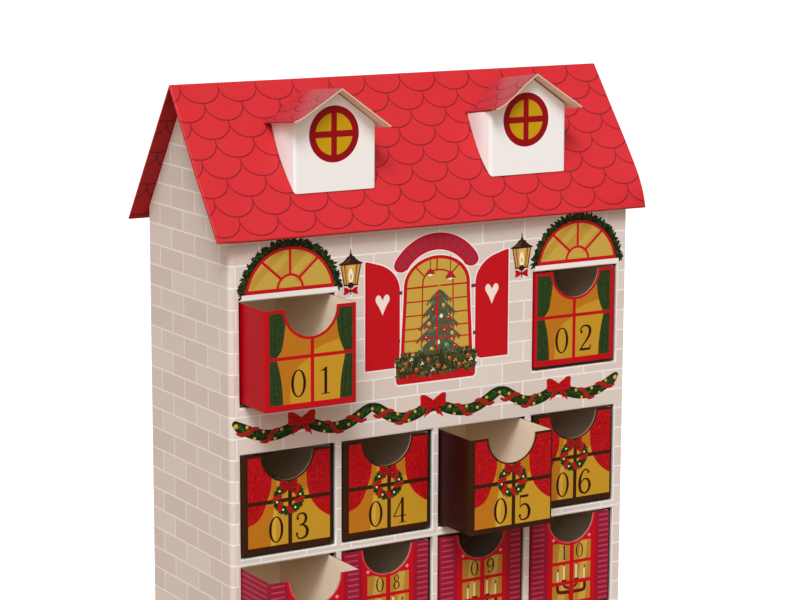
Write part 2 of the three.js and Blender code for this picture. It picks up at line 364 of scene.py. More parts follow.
def winding(pts, poly):
    out = np.zeros(len(pts), int)
    a, b = poly, np.roll(poly, -1, 0)
    step = max(1, 3_000_000 // len(poly))
    for i in range(0, len(pts), step):
        x, y = pts[i:i + step, 0][:, None], pts[i:i + step, 1][:, None]
        cross = (b[:, 0] - a[:, 0]) * (y - a[:, 1]) - (x - a[:, 0]) * (b[:, 1] - a[:, 1])
        up = (a[:, 1] <= y) & (b[:, 1] > y) & (cross > 0)
        dn = (a[:, 1] > y) & (b[:, 1] <= y) & (cross < 0)
        out[i:i + step] = up.sum(1) - dn.sum(1)
    return out


# ---------------------------------------------------------------- printed sheets
class Sheet:
    """A flat cut sheet with its printed shapes, the last on top, that is split into faces of one ink each."""

    def __init__(self, outline, holes=()):
        self.outline = arr(outline)
        self.holes = [arr(h) for h in holes]
        self.folds = []
        self.shapes = []

    def fold(self, line):
        self.folds.append(arr(line))

    def ink(self, poly, key):
        self.shapes.append((arr(poly), key))

    def inks(self, shapes, dx=0.0, dz=0.0, flip_about=None):
        for poly, key in shapes:
            p = arr(poly)
            if flip_about is not None:
                p = (p * [-1, 1] + [2 * flip_about, 0])[::-1]
            self.ink(p + [dx, dz], key)

    def split(self, base, plain=False, rim=None):
        """Triangles of the sheet: points, corners and ink names. rim replaces the outlines with given edges."""
        v, e = [], []

        def chain(p, closed):
            k = len(v)
            v.extend(p)
            e.extend((k + i, k + i + 1) for i in range(len(p) - 1))
            if closed:
                e.append((k + len(p) - 1, k))

        if rim is None:
            for p in [self.outline] + self.holes:
                chain(p, True)
        else:
            for a, b in rim:
                k = len(v)
                v.extend([a, b])
                e.append((k, k + 1))
        for p in self.folds:
            chain(p, False)
        lo, hi = self.outline.min(0) - 1e-6, self.outline.max(0) + 1e-6
        shapes = [] if plain else [
            (p, k) for p, k in self.shapes if (p.max(0) > lo).all() and (p.min(0) < hi).all()
        ]
        for p, _ in shapes:
            chain(p, True)
        r = delaunay_2d_cdt([Vector(p) for p in v], e, [], 0, 1e-5, False)
        pts = arr([tuple(p) for p in r[0]])
        tri = np.asarray(r[2], int)
        a, b, c = (pts[tri[:, i]] for i in range(3))
        area = (b[:, 0] - a[:, 0]) * (c[:, 1] - a[:, 1]) - (c[:, 0] - a[:, 0]) * (b[:, 1] - a[:, 1])
        tri[area < 0] = tri[area < 0][:, ::-1]
        tri = tri[np.abs(area) > 1e-12]
        mid = pts[tri].mean(1)
        keep = winding(mid, self.outline) != 0
        for h in self.holes:
            box = ((mid >= h.min(0)) & (mid <= h.max(0))).all(1) & keep
            i = np.where(box)[0]
            keep[i[winding(mid[i], h) != 0]] = False
        tri, mid = tri[keep], mid[keep]
        name = np.full(len(tri), -1)
        for k, (p, _) in enumerate(shapes):
            i = np.where(((mid >= p.min(0)) & (mid <= p.max(0))).all(1))[0]
            if len(i):
                name[i[winding(mid[i], p) != 0]] = k
        keys = [base if k < 0 else shapes[k][1] for k in name]
        return pts, tri, keys


def border(tri):
    """Directed edges that only one triangle has."""
    e = np.concatenate([tri[:, [0, 1]], tri[:, [1, 2]], tri[:, [2, 0]]])
    have = {(int(a), int(b)) for a, b in e}
    return [(a, b) for a, b in have if (b, a) not in have]


class Piece:
    """Faces of one piece, gathered from its sheets and joined where they meet."""

    def __init__(self):
        self.pos, self.nrm, self.key, self.n = [], [], [], 0

    def faces(self, pos, nrm, tri, keys):
        self.pos.append(pos[tri])
        self.nrm.append(nrm[tri])
        self.key.extend(keys)

    def flat(self, corners, keys):
        corners = arr(corners)
        n = np.cross(corners[:, 1] - corners[:, 0], corners[:, 2] - corners[:, 0])
        size = np.linalg.norm(n, axis=1)
        ok = size > 1e-16
        corners, n = corners[ok], n[ok] / size[ok][:, None]
        self.pos.append(corners)
        self.nrm.append(np.repeat(n[:, None, :], 3, 1))
        self.key.extend([k for k, o in zip(keys, ok) if o])

    def quads(self, a, b, c, d, key):
        a, b, c, d = (arr(x) for x in (a, b, c, d))
        self.flat(np.stack([a, b, c], 1), [key] * len(a))
        self.flat(np.stack([a, c, d], 1), [key] * len(a))

    def board(self, sheet, base, outer, inner, edge, inside, printed_inside=None):
        """A board from a sheet: its printed face, its other face, and the strips between them."""
        pts, tri, keys = sheet.split(base)
        self.faces(*outer(pts), tri, keys)
        rim = border(tri)
        a = pts[[i for i, _ in rim]]
        b = pts[[j for _, j in rim]]
        oa, ob, ia, ib = outer(a)[0], outer(b)[0], inner(a)[0], inner(b)[0]
        if callable(edge):
            kinds = edge((a + b) / 2)
            for k in sorted(set(kinds)):
                m = np.array([q == k for q in kinds])
                self.quads(ob[m], oa[m], ia[m], ib[m], k)
        else:
            self.quads(ob, oa, ia, ib, edge)
        if printed_inside is not None:
            p, n = inner(pts)
            self.faces(p, n, tri[:, ::-1], [printed_inside.get(k, inside) for k in keys])
            return
        back, bt, _ = sheet.split(inside, plain=True, rim=list(zip(a, b)))
        tree = kdtree.KDTree(len(a))
        for i, p in enumerate(a):
            tree.insert((p[0], p[1], 0), i)
        tree.balance()
        for i, p in enumerate(back):
            _, j, d = tree.find((p[0], p[1], 0))
            if d < 2e-4:
                back[i] = a[j]
        p, n = inner(back)
        self.faces(p, n, bt[:, ::-1], [inside] * len(bt))

    def make(self, name, body, nodes=()):
        pos, nrm = np.concatenate(self.pos), np.concatenate(self.nrm)
        flat = np.round(pos.reshape(-1, 3), 8)
        points, index = np.unique(flat, axis=0, return_inverse=True)
        tri = index.reshape(-1, 3)
        ok = (tri[:, 0] != tri[:, 1]) & (tri[:, 1] != tri[:, 2]) & (tri[:, 2] != tri[:, 0])
        tri, nrm = tri[ok], nrm[ok]
        keys = [k for k, o in zip(self.key, ok) if o]
        me = bpy.data.meshes.new(name)
        me.from_pydata([tuple(p) for p in points], [], [tuple(int(i) for i in t) for t in tri])
        names = sorted(set(keys))
        for k in names:
            me.materials.append(ink(k))
        slots = {k: i for i, k in enumerate(names)}
        me.polygons.foreach_set("material_index", [slots[k] for k in keys])
        me.polygons.foreach_set("use_smooth", [True] * len(keys))
        n = nrm.reshape(-1, 3)
        n = n / np.maximum(np.linalg.norm(n, axis=1), 1e-12)[:, None]
        me.normals_split_custom_set([tuple(x) for x in n])
        me.update()
        o = bpy.data.objects.new(name, me)
        bpy.context.scene.collection.objects.link(o)
        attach(o, body)
        if nodes:
            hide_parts(*nodes)
        return o


class Path:
    """A line with rounded corners in a plane, measured along its length from start."""

    def __init__(self, points, radii, closed=False, start=0.0, segments=8):
        p = [arr(q) for q in points]
        k = len(p)
        self.parts = []  # (w0, w1, kind, data)
        self.knots = []
        trims = [0.0] * k
        arcs = [None] * k
        for i in range(k):
            if not closed and i in (0, k - 1) or radii[i] <= 0:
                continue
            a, b, c = p[i - 1], p[i], p[(i + 1) % k]
            d0, d1 = (b - a) / np.linalg.norm(b - a), (c - b) / np.linalg.norm(c - b)
            turn = math.atan2(d0[0] * d1[1] - d0[1] * d1[0], d0 @ d1)
            trims[i] = radii[i] * math.tan(abs(turn) / 2)
            arcs[i] = (d0, d1, turn)
        w = start
        order = list(range(k)) if closed else list(range(k - 1))
        for i in order:
            a, b = p[i], p[(i + 1) % k]
            d = (b - a) / np.linalg.norm(b - a)
            length = np.linalg.norm(b - a) - trims[i] - trims[(i + 1) % k]
            self.parts.append((w, w + length, "line", (a + d * trims[i], d)))
            self.knots.append(w)
            w += length
            self.knots.append(w)
            j = (i + 1) % k
            if arcs[j] is not None and (closed or j not in (0, k - 1)):
                d0, d1, turn = arcs[j]
                r = radii[j]
                side = 1 if turn > 0 else -1
                centre = p[j] - d0 * trims[j] + r * side * arr([-d0[1], d0[0]])
                span = r * abs(turn)
                self.parts.append((w, w + span, "arc", (centre, r, side, d0, turn)))
                self.knots += [w + span * s / segments for s in range(1, segments)]
                w += span
        self.end = w
        self.start = start
        self.knots = sorted(set(round(q, 9) for q in self.knots + [w]))

    def at(self, w):
        """Points and right-hand normals."""
        w = np.asarray(w, float)
        pos, nrm = np.zeros(w.shape + (2,)), np.zeros(w.shape + (2,))
        last = len(self.parts) - 1
        for n, (w0, w1, kind, data) in enumerate(self.parts):
            m = (w >= w0 if n else w >= -1e9) & ((w <= w1) if n < last else w <= 1e9)
            t = w[m] - w0
            if kind == "line":
                o, d = data
                pos[m] = o + d * t[:, None]
                nrm[m] = [d[1], -d[0]]
            else:
                c, r, side, d0, turn = data
                a = (t / r) * side
                dx = d0[0] * np.cos(a) - d0[1] * np.sin(a)
                dz = d0[0] * np.sin(a) + d0[1] * np.cos(a)
                nrm[m] = np.stack([dz, -dx], 1)
                pos[m] = c + nrm[m] * (r * side)
        return pos, nrm


def rounded(d, r):
    """How far an edge of this rounding falls away at distance d from the rim, and the tilt's sine."""
    d = np.clip(d, 0, r)
    return r - np.sqrt(np.maximum(r * r - (r - d) ** 2, 0)), (r - d) / r


EASE = [0.0, 0.035, 0.13, 0.29, 0.5, 0.75, 1.0]  # where a rounded edge is cut into strips


# ---------------------------------------------------------------- the printed wrap
COLUMNS = [3.0, 8.36, 13.72, 19.08]
SILLS = [419 / 12 - 41.5] + [(333.4 - 64 * r) / 12 - 41.5 for r in range(6)]
HALF_W, HIGH = 2.5, 59 / 12
OPENINGS = []
for row, sill in enumerate(SILLS):
    for col in ([0, 3] if row in (0, 6) else [0, 1, 2, 3]):
        OPENINGS.append((COLUMNS[col], sill))

FOLD = 0.27
WIDE, DEEP = 22.08, 8.28
LAP = 0.86
SHARP = 0.06
START = FOLD - ((LAP - SHARP) + math.pi / 2 * SHARP + (DEEP - SHARP - FOLD) + math.pi / 2 * FOLD)
WALL = Path(
    [(LAP, DEEP), (0, DEEP), (0, 0), (WIDE, 0), (WIDE, DEEP), (WIDE - LAP, DEEP)],
    [0, SHARP, FOLD, SHARP, SHARP, 0], start=START, segments=8,
)
CURVE = 2 - math.pi / 2
SIDE_MID = CURVE * FOLD - DEEP / 2
OTHER_MID = WIDE - CURVE * SHARP + DEEP / 2
# the middles of the three sharp folds, along the print; the board is creased thinner there
BEND = SHARP * math.pi / 4
CREASES = [START + LAP - SHARP + BEND, WIDE - SHARP + BEND, WALL.end - LAP + SHARP - BEND]


def board_depth(w):
    """The wrap's thickness along the print, in courses."""
    near = np.min([np.abs(w - c) for c in CREASES], axis=0) - BEND
    return np.clip(0.055 + 0.45 * np.maximum(near, 0), 0, 2 / 12)


def wall_top(y):
    return (590.319 - 1.4569 * abs(y - DEEP / 2) * 12) / 12 - 41.5


def hearts(cx, cz, w, h):
    """A plain heart, its tip at cz."""
    p = smooth([(0, 0), (0.45, 0.42), (0.95, 0.78), (0.9, 1.0), (0.62, 1.1), (0.3, 1.03), (0, 0.8)], 5)
    p = np.concatenate([p, (p * [-1, 1])[::-1][1:-1]])
    return p * [w / 2, h / 1.1] + [cx, cz]


def bow_shape(cx, cz, size=1.0, ink_a="bow", ink_b="bow_shade"):
    """A ribbon bow, 1.44 across at size 1."""
    out = []
    loop = smooth([(0.03, 0.13), (0.2, 0.24), (0.44, 0.38), (0.64, 0.41), (0.73, 0.3), (0.71, 0.06), (0.72, -0.14), (0.6, -0.25), (0.4, -0.24), (0.2, -0.2), (0.03, -0.14)], 4)
    tail = np.concatenate([
        smooth([(-0.02, -0.06), (-0.3, -0.3), (-0.46, -0.52), (-0.52, -0.74)], 4), [(-0.36, -0.6)],
        smooth([(-0.2, -0.56), (-0.1, -0.36), (0.12, -0.12)], 4),
    ])
    for flip in (False, True):
        t = moved(tail, scale=1.08 if flip else 1.0, flip=flip)
        out.append((t * size + [cx, cz], ink_a))
        f = smooth([(-0.06, -0.18), (-0.2, -0.34), (-0.32, -0.52)], 4)
        f = moved(stroke(f, 0.02 + 0.035 * np.sin(np.linspace(0, math.pi, len(f)))), flip=flip)
        out.append((f * size + [cx, cz], ink_b))
    for flip in (False, True):
        out.append((moved(loop, flip=flip) * size + [cx, cz], ink_a))
        for pts in ([(0.1, 0.03), (0.3, 0.13), (0.52, 0.17)], [(0.12, -0.04), (0.3, -0.06), (0.5, -0.04)]):
            c = smooth(pts, 4)
            out.append((moved(stroke(c, 0.012 + 0.034 * np.sin(np.linspace(0, math.pi, len(c)))), flip=flip) * size + [cx, cz], ink_b))
    out.append((round_rect(-0.12, 0.12, -0.12, 0.11, 0.06, 3) * size + [cx, cz], ink_a))
    for x in (-0.09, 0.09):
        out.append((stroke(arr([(x, -0.08), (x * 0.6, 0.0), (x, 0.07)]), 0.022) * size + [cx, cz], ink_b))
    return out


def bead(x, z, r=0.09):
    return [(ellipse(x, z, r, r, 10), "bead_gold"), (ellipse(x - r * 0.2, z + r * 0.25, r * 0.45, r * 0.45, 7), "bead_light")]


def fanlight(cx, seed):
    rng = random.Random(seed)
    cz, out = -1.65, []
    # hedge
    out.append((ring(arc(cx, cz, 2.64, 2.64, 5.4, 174.6, 60), arc(cx, cz, 2.25, 2.25, 5.4, 174.6, 60)), "leaf_1"))
    a = 4.6
    while a < 175.8:
        r = rng.uniform(2.52, 2.62)
        lean = rng.choice((-1, 1)) * rng.uniform(18, 52)
        t = math.radians(a)
        out.append((leaf(cx + r * math.cos(t), cz + r * math.sin(t), a + lean, rng.uniform(0.2, 0.3), 0.13), rng.choice(("leaf_1", "leaf_1", "leaf_2"))))
        a += rng.uniform(1.5, 2.3)
    for _ in range(150):
        a, r = rng.uniform(6, 174), rng.uniform(2.36, 2.6)
        t = math.radians(a)
        key = rng.choice(("leaf_2", "leaf_2", "leaf_3", "leaf_3", "leaf_1", "leaf_4", "leaf_2", "leaf_3", "leaf_brown"))
        out.append((leaf(cx + r * math.cos(t), cz + r * math.sin(t), a + rng.choice((-1, 1)) * rng.uniform(35, 80), rng.uniform(0.14, 0.24), 0.085), key))
    for a in (9, 171):  # ragged ends
        for _ in range(7):
            t = math.radians(a + rng.uniform(-3, 3))
            r = rng.uniform(2.4, 2.62)
            out.append((leaf(cx + r * math.cos(t), cz + r * math.sin(t) - 0.02, -90 + rng.uniform(-50, 50), rng.uniform(0.16, 0.24), 0.1), rng.choice(("leaf_1", "leaf_2"))))
    # glass
    base = -1.28
    lo = math.degrees(math.asin((base - cz) / 2.24))
    out.append((arc(cx, cz, 2.24, 2.24, lo, 180 - lo, 48), "gold_light"))
    for c, w, x0, x1 in ((-2.03, 0.34, -2.1, 0.4), (-3.1, 0.5, -0.65, 1.45), (-4.15, 0.25, 0.3, 2.0), (-1.2, 0.22, -2.4, -0.9)):
        line = arr([(x0, 0.95 * (x0 + 3.13) + c), (x1, 0.95 * (x1 + 3.13) + c)])
        d = line[1] - line[0]
        # keep the band inside the glass
        keep = []
        for t in np.linspace(0, 1, 60):
            p = line[0] + d * t
            if p[1] > -1.3 and math.hypot(p[0], p[1] - cz) < 2.26:
                keep.append(p)
        if len(keep) > 2:
            out.append((stroke(arr([keep[0], keep[-1]]) + [cx, 0], w), "gold_dark"))
    out.append((rect(cx - 2.5, cx + 2.5, -1.69, -1.37), "mortar"))
    out.append((ring(arc(cx, cz, 2.35, 2.35, lo - 1, 181 - lo, 56), arc(cx, cz, 2.21, 2.21, lo - 1, 181 - lo, 56)), "print_red"))
    out.append((rect(cx - 0.065, cx + 0.065, -0.56, 0.62), "print_red"))
    for a in (41, 139):
        t = math.radians(a)
        d = arr([math.cos(t), math.sin(t)])
        out.append((stroke(arr([d * 0.6, d * 2.0]) + [cx, -1.18], 0.13), "print_red"))
    out.append((ring(arc(cx, -1.26, 0.72, 0.72, 4, 176, 30), arc(cx, -1.26, 0.6, 0.6, 4, 176, 30)), "print_red"))
    out.append((rect(cx - 2.33, cx + 2.32, -1.37, -1.19), "print_red"))
    return out


def lantern(cx):
    out = [
        (arr([(cx - 0.04, -1.3), (cx + 0.04, -1.3), (cx + 0.03, -1.83), (cx - 0.03, -1.83)]), "iron"),
        (stroke(smooth([(cx, 0.35), (cx, 0.2), (cx, 0.02)], 3), [0.01, 0.04, 0.05, 0.06, 0.08, 0.12, 0.2]), "iron"),
        (ellipse(cx, 0.02, 0.09, 0.07, 12), "iron"),
        (smooth([(cx - 0.24, -0.12), (cx - 0.16, -0.02), (cx, 0.0), (cx + 0.16, -0.02), (cx + 0.24, -0.12), (cx, -0.17)], 3, True), "iron"),
        (arr([(cx - 0.2, -0.08), (cx + 0.2, -0.08), (cx + 0.42, -0.26), (cx + 0.64, -0.36), (cx + 0.64, -0.41), (cx - 0.64, -0.41), (cx - 0.64, -0.36), (cx - 0.42, -0.26)]), "iron"),
        (arr([(cx - 0.12, -0.12), (cx + 0.02, -0.12), (cx - 0.1, -0.34), (cx - 0.42, -0.34)]), "iron_light"),
        (arr([(cx - 0.56, -0.4), (cx + 0.56, -0.4), (cx + 0.37, -1.4), (cx - 0.37, -1.4)]), "iron"),
        (arr([(cx - 0.5, -0.43), (cx + 0.5, -0.43), (cx + 0.32, -1.34), (cx - 0.32, -1.34)]), "lamp_amber"),
        (arr([(cx - 0.16, -0.43), (cx + 0.22, -0.43), (cx + 0.14, -1.34), (cx - 0.1, -1.34)]), "lamp_pale"),
        (arr([(cx - 0.36, -0.43), (cx - 0.31, -0.43), (cx - 0.2, -1.34), (cx - 0.23, -1.34)]), "iron_light"),
        (arr([(cx + 0.36, -0.43), (cx + 0.31, -0.43), (cx + 0.2, -1.34), (cx + 0.23, -1.34)]), "iron_light"),
        (smooth([(cx, -0.58), (cx + 0.13, -0.85), (cx + 0.11, -1.15), (cx, -1.25), (cx - 0.11, -1.15), (cx - 0.13, -0.85)], 4, True), "flame"),
        (smooth([(cx, -0.84), (cx + 0.06, -1.0), (cx, -1.14), (cx - 0.06, -1.0)], 4, True), "lamp_pale"),
        (rect(cx - 0.39, cx + 0.39, -1.41, -1.36), "iron"),
        (smooth([(cx - 0.17, -1.38), (cx - 0.08, -1.26), (cx + 0.08, -1.26), (cx + 0.17, -1.38), (cx + 0.1, -1.5), (cx - 0.1, -1.5)], 3, True), "iron"),
    ]
    for s in (-1, 1):
        wing = smooth([(cx + s * 0.04, -1.61), (cx + s * 0.2, -1.5), (cx + s * 0.37, -1.48), (cx + s * 0.35, -1.65), (cx + s * 0.38, -1.82), (cx + s * 0.2, -1.79), (cx + s * 0.04, -1.7)], 3, True)
        out.append((wing, "bow"))
        out.append((stroke(arr([(cx + s * 0.08, -1.64), (cx + s * 0.2, -1.62), (cx + s * 0.28, -1.63)]), [0.02, 0.05, 0.01]), "bow_shade"))
    out.append((rect(cx - 0.06, cx + 0.06, -1.7, -1.6), "bow_shade"))
    return out


def brick_arch():
    cx, cz, out = 11.03, -2.076, []

    def crescent(r0, r1, a0, a1, n=40):
        end = (r1 - r0) / 2
        mid = (r0 + r1) / 2
        t0, t1 = math.radians(a0), math.radians(a1)
        p = [arc(cx, cz, r1, r1, a0, a1, n)]
        c = (cx + mid * math.cos(t1), cz + mid * math.sin(t1))
        p.append(arc(c[0], c[1], end, end * 0.8, a1 + 12, a1 + 168, 8))
        p.append(arc(cx, cz, r0, r0, a1, a0, n))
        c = (cx + mid * math.cos(t0), cz + mid * math.sin(t0))
        p.append(arc(c[0], c[1], end, end * 0.8, a0 + 192, a0 + 348, 8))
        return np.concatenate(p)

    out.append((crescent(1.93, 2.85, 35, 145), "mortar"))
    out.append((crescent(1.98, 2.80, 35, 145), "arch_edge"))
    out.append((crescent(2.1, 2.68, 36.3, 143.7), "arch_brick"))
    for i in range(11):
        t = math.radians(144 - 108 * (i + 0.5) / 11)
        d = arr([math.cos(t), math.sin(t)])
        out.append((stroke(arr([d * 2.03, d * 2.75]) + [cx, cz], 0.115), "arch_edge"))
    return out


def window_outline(grow, cx=11.06):
    """The arched opening of the large window, grown outwards."""
    g = grow
    left = arr([(cx - 2.02 - g, -5.3), (cx - 1.96 - g, -4.0), (cx - 1.9 - g, -3.0), (cx - 1.86 - g, -2.2)])
    head = arc(cx, -1.78, 1.85 + g, 1.42 + g * 0.85, 180, 0, 40)
    right = left[::-1] * [-1, 1] + [2 * cx, 0]
    return np.concatenate([left, head, right])


def tree():
    """A plain fir with round baubles, in the room behind the window."""
    rng, out, cx = random.Random(41), [], 11.2
    tiers = [(-1.95, -2.6, 0.72), (-2.35, -3.2, 0.98), (-2.9, -3.8, 1.18), (-3.45, -4.4, 1.34), (-4.05, -5.1, 1.46)]
    for top, low, half in reversed(tiers):
        pts = []
        n = 9
        for i in range(n + 1):
            t = i / n
            pts.append((cx - half * (1 - t) * 0.95 - 0.05, low + (top - low) * t ** 0.85 + 0.02))
        left = []
        for i, (x, z) in enumerate(pts[:-1]):
            left += [(x - 0.05, z - 0.09), (x + 0.14, z + 0.02)]
        body = [(cx, top + 0.1)]
        right = [(2 * cx - x, z) for x, z in left]
        body = left + [(cx, top + 0.1)] + right[::-1]
        low_edge = []
        for i in range(10):
            x = cx + half * 0.95 - (i + 0.5) * half * 1.9 / 10
            low_edge += [(x + 0.05, low + 0.06), (x - 0.03, low - 0.1 - rng.uniform(0, 0.06))]
        out.append((arr(body + low_edge), "needle_1"))
        for _ in range(int(26 * half)):
            t = rng.uniform(0, 1)
            z = top + (low - top) * t
            x = cx + rng.uniform(-1, 1) * half * t * 0.85
            side = 1 if x > cx else -1
            out.append((leaf(x, z, -90 + side * rng.uniform(25, 65), rng.uniform(0.16, 0.28), 0.07), rng.choice(("needle_2", "needle_3", "needle_2", "needle_1"))))
    out.append((stroke(arr([(cx, -1.86), (cx, -2.1)]), [0.02, 0.08]), "needle_3"))
    for x, z, r, key in (
        (11.12, -2.42, 0.09, "bow"), (11.42, -2.78, 0.1, "bead_gold"), (10.86, -2.98, 0.11, "bow"), (11.3, -3.3, 0.1, "cream"),
        (11.72, -3.42, 0.11, "bow"), (10.62, -3.62, 0.11, "bead_gold"), (11.02, -3.86, 0.12, "leaf_lit"), (11.52, -4.02, 0.12, "bow"),
        (10.5, -4.3, 0.12, "bow"), (11.92, -4.18, 0.11, "bead_gold"), (11.12, -4.56, 0.12, "cream"), (10.78, -4.86, 0.12, "bead_gold"),
        (11.62, -4.74, 0.13, "leaf_lit"), (12.1, -4.82, 0.11, "bow"), (10.2, -4.82, 0.1, "leaf_lit"),
    ):
        out.append((ellipse(x, z, r, r, 12), key))
        out.append((ellipse(x - r * 0.3, z + r * 0.3, r * 0.28, r * 0.28, 6), "flame"))
    star = [((0.2 if i % 2 == 0 else 0.08) * math.sin(math.pi * i / 5), (0.2 if i % 2 == 0 else 0.08) * math.cos(math.pi * i / 5)) for i in range(10)]
    out.append((arr(star) + [cx, -1.92], "bead_gold"))
    return out


def great_window():
    cx, out = 11.06, []
    out.append((window_outline(0.07), "mortar"))
    out.append((window_outline(0.0), "print_red"))
    out.append((window_outline(-0.19), "gold_light"))
    for x, z in ((10.67, -1.0), (11.8, -1.2)):
        out.append((rect(x - 0.02, x + 0.02, z - 0.05, -0.42), "iron"))
    bars = []
    for z, w in ((-1.83, 0.085), (-2.5, 0.065), (-3.17, 0.065), (-3.8, 0.065), (-4.37, 0.065), (-4.95, 0.065)):
        bars.append((rect(cx - 1.85, cx + 1.85, z - w / 2, z + w / 2), "muntin"))
    bars.append((stroke(arr([(10.25, -1.75), (10.24, -3.2), (10.18, -5.2)]), 0.07), "muntin"))
    bars.append((stroke(arr([(11.95, -1.75), (11.97, -3.2), (12.02, -5.2)]), 0.07), "muntin"))
    bars.append((stroke(smooth([(10.25, -1.78), (10.32, -1.4), (10.62, -1.14), (11.1, -1.06), (11.58, -1.14), (11.88, -1.4), (11.95, -1.78)], 5), 0.085), "muntin"))
    bars.append((stroke(arr([(9.9, -0.88), (10.36, -1.33)]), 0.08), "muntin"))
    bars.append((stroke(arr([(12.27, -0.9), (11.82, -1.32)]), 0.08), "muntin"))
    bars.append((rect(11.01, 11.09, -1.08, -0.46), "muntin"))
    out += bars
    for x, z, w, d in ((10.67, -0.98, 0.28, 0.26), (11.8, -1.18, 0.3, 0.33)):
        key = "arch_edge"
        out.append((arr([(x - 0.06, z), (x + 0.06, z), (x + w * 0.7, z - d * 0.55), (x + w, z - d), (x - w, z - d), (x - w * 0.7, z - d * 0.55)]), key))
        out.append((ellipse(x, z - d - 0.02, w * 0.45, 0.07, 12), "flame"))
        out.append((rect(x - w, x + w, z - d, z - d + 0.04), "iron"))
    out += tree()
    out += [(rect(11.02, 11.12, -5.2, -2.1), "print_red"), (rect(cx - 1.8, cx + 1.8, -3.825, -3.775), "print_red"), (rect(cx - 1.8, cx + 1.8, -4.395, -4.345), "print_red")]
    # the frame again, so that nothing inside crosses it
    out.append((ring(window_outline(0.0), window_outline(-0.19)), "print_red"))
    return out


def shutters():
    out = []
    for s, cx in ((1, 8.05), (-1, 14.17)):
        def at(p):
            return arr([(cx + s * x, z) for x, z in p])
        for g, key in ((0.06, "mortar"), (0.0, "print_red")):
            x0, x1 = -0.95 - g, 0.95 + g
            head = arc(x1 - 0.02 - 1.7, -1.9, 1.72, 1.42 + g, 0, 72, 18)
            r = 0.4
            body = np.concatenate([
                [(x0, -5.58 - g), (x1 - r, -5.58 - g)], arc(x1 - r, -5.58 - g + r, r, r, -90, 0, 8), head,
                [(x0 + 0.12, -0.38 + g), (x0, -0.38 + g)],
            ])
            out.append((at(body), key))
        out.append((at(stroke(arr([(-0.88, -0.6), (-0.88, -5.4)]), 0.03)), "print_red_dark"))
        out.append((hearts(cx, -2.98, 0.78, 0.98), "cream"))
        for z in (-2.0, -4.3):
            out.append((at(rect(0.84, 1.36, z - 0.085, z + 0.085)), "hinge"))
    return out


def greenery():
    rng, out = random.Random(7), []
    out.append((round_rect(8.72, 13.33, -6.5, -5.3, [0.25, 0.25, 0, 0]), "mortar"))
    out.append((round_rect(8.8, 13.25, -6.42, -5.4, [0.18, 0.18, 0, 0]), "print_red"))
    x0, x1, z0, z1 = 8.98, 13.1, -5.98, -5.1
    out.append((rect(x0 - 0.1, x1 + 0.1, z0, z1), "olive_1"))
    for _ in range(120):  # ragged outline
        side = rng.random()
        if side < 0.36:
            x, z, a = rng.uniform(x0, x1), z1 - 0.03, 90 + rng.uniform(-50, 50)
        elif side < 0.72:
            x, z, a = rng.uniform(x0, x1), z0 + 0.04, -90 + rng.uniform(-50, 50)
        elif side < 0.86:
            x, z, a = x0, rng.uniform(z0, z1), 180 + rng.uniform(-45, 45)
        else:
            x, z, a = x1, rng.uniform(z0, z1), rng.uniform(-45, 45)
        out.append((leaf(x, z, a, rng.uniform(0.2, 0.34), 0.11), rng.choice(("olive_1", "olive_2"))))
    for _ in range(230):
        x, z = rng.uniform(x0 - 0.1, x1 + 0.1), rng.uniform(z0 - 0.02, z1 + 0.02)
        out.append((leaf(x, z, rng.uniform(0, 360), rng.uniform(0.18, 0.32), 0.085), rng.choice(("olive_2", "olive_3", "olive_1", "needle_3", "olive_2"))))
    for x, z, r in ((9.35, -5.45, 0.13), (9.95, -5.78, 0.12), (10.6, -5.35, 0.12), (11.15, -5.7, 0.13), (11.8, -5.4, 0.12), (12.35, -5.75, 0.13), (12.85, -5.38, 0.13)):
        out.append((ellipse(x, z, r, r, 12), "ornament"))
        out.append((ellipse(x - 0.04, z + 0.04, 0.035, 0.035, 6), "bead_light"))
    for x, z in ((9.15, -5.75), (9.65, -5.3), (10.25, -5.55), (10.85, -5.9), (11.5, -5.85), (12.1, -5.55), (12.65, -5.72), (13.0, -5.6)):
        for dx, dz in ((-0.06, 0), (0.06, 0.02), (0, 0.09)):
            out.append((ellipse(x + dx, z + dz, 0.045, 0.045, 7), "cream" if int(x * 7) % 2 else "bead_gold"))
    return out


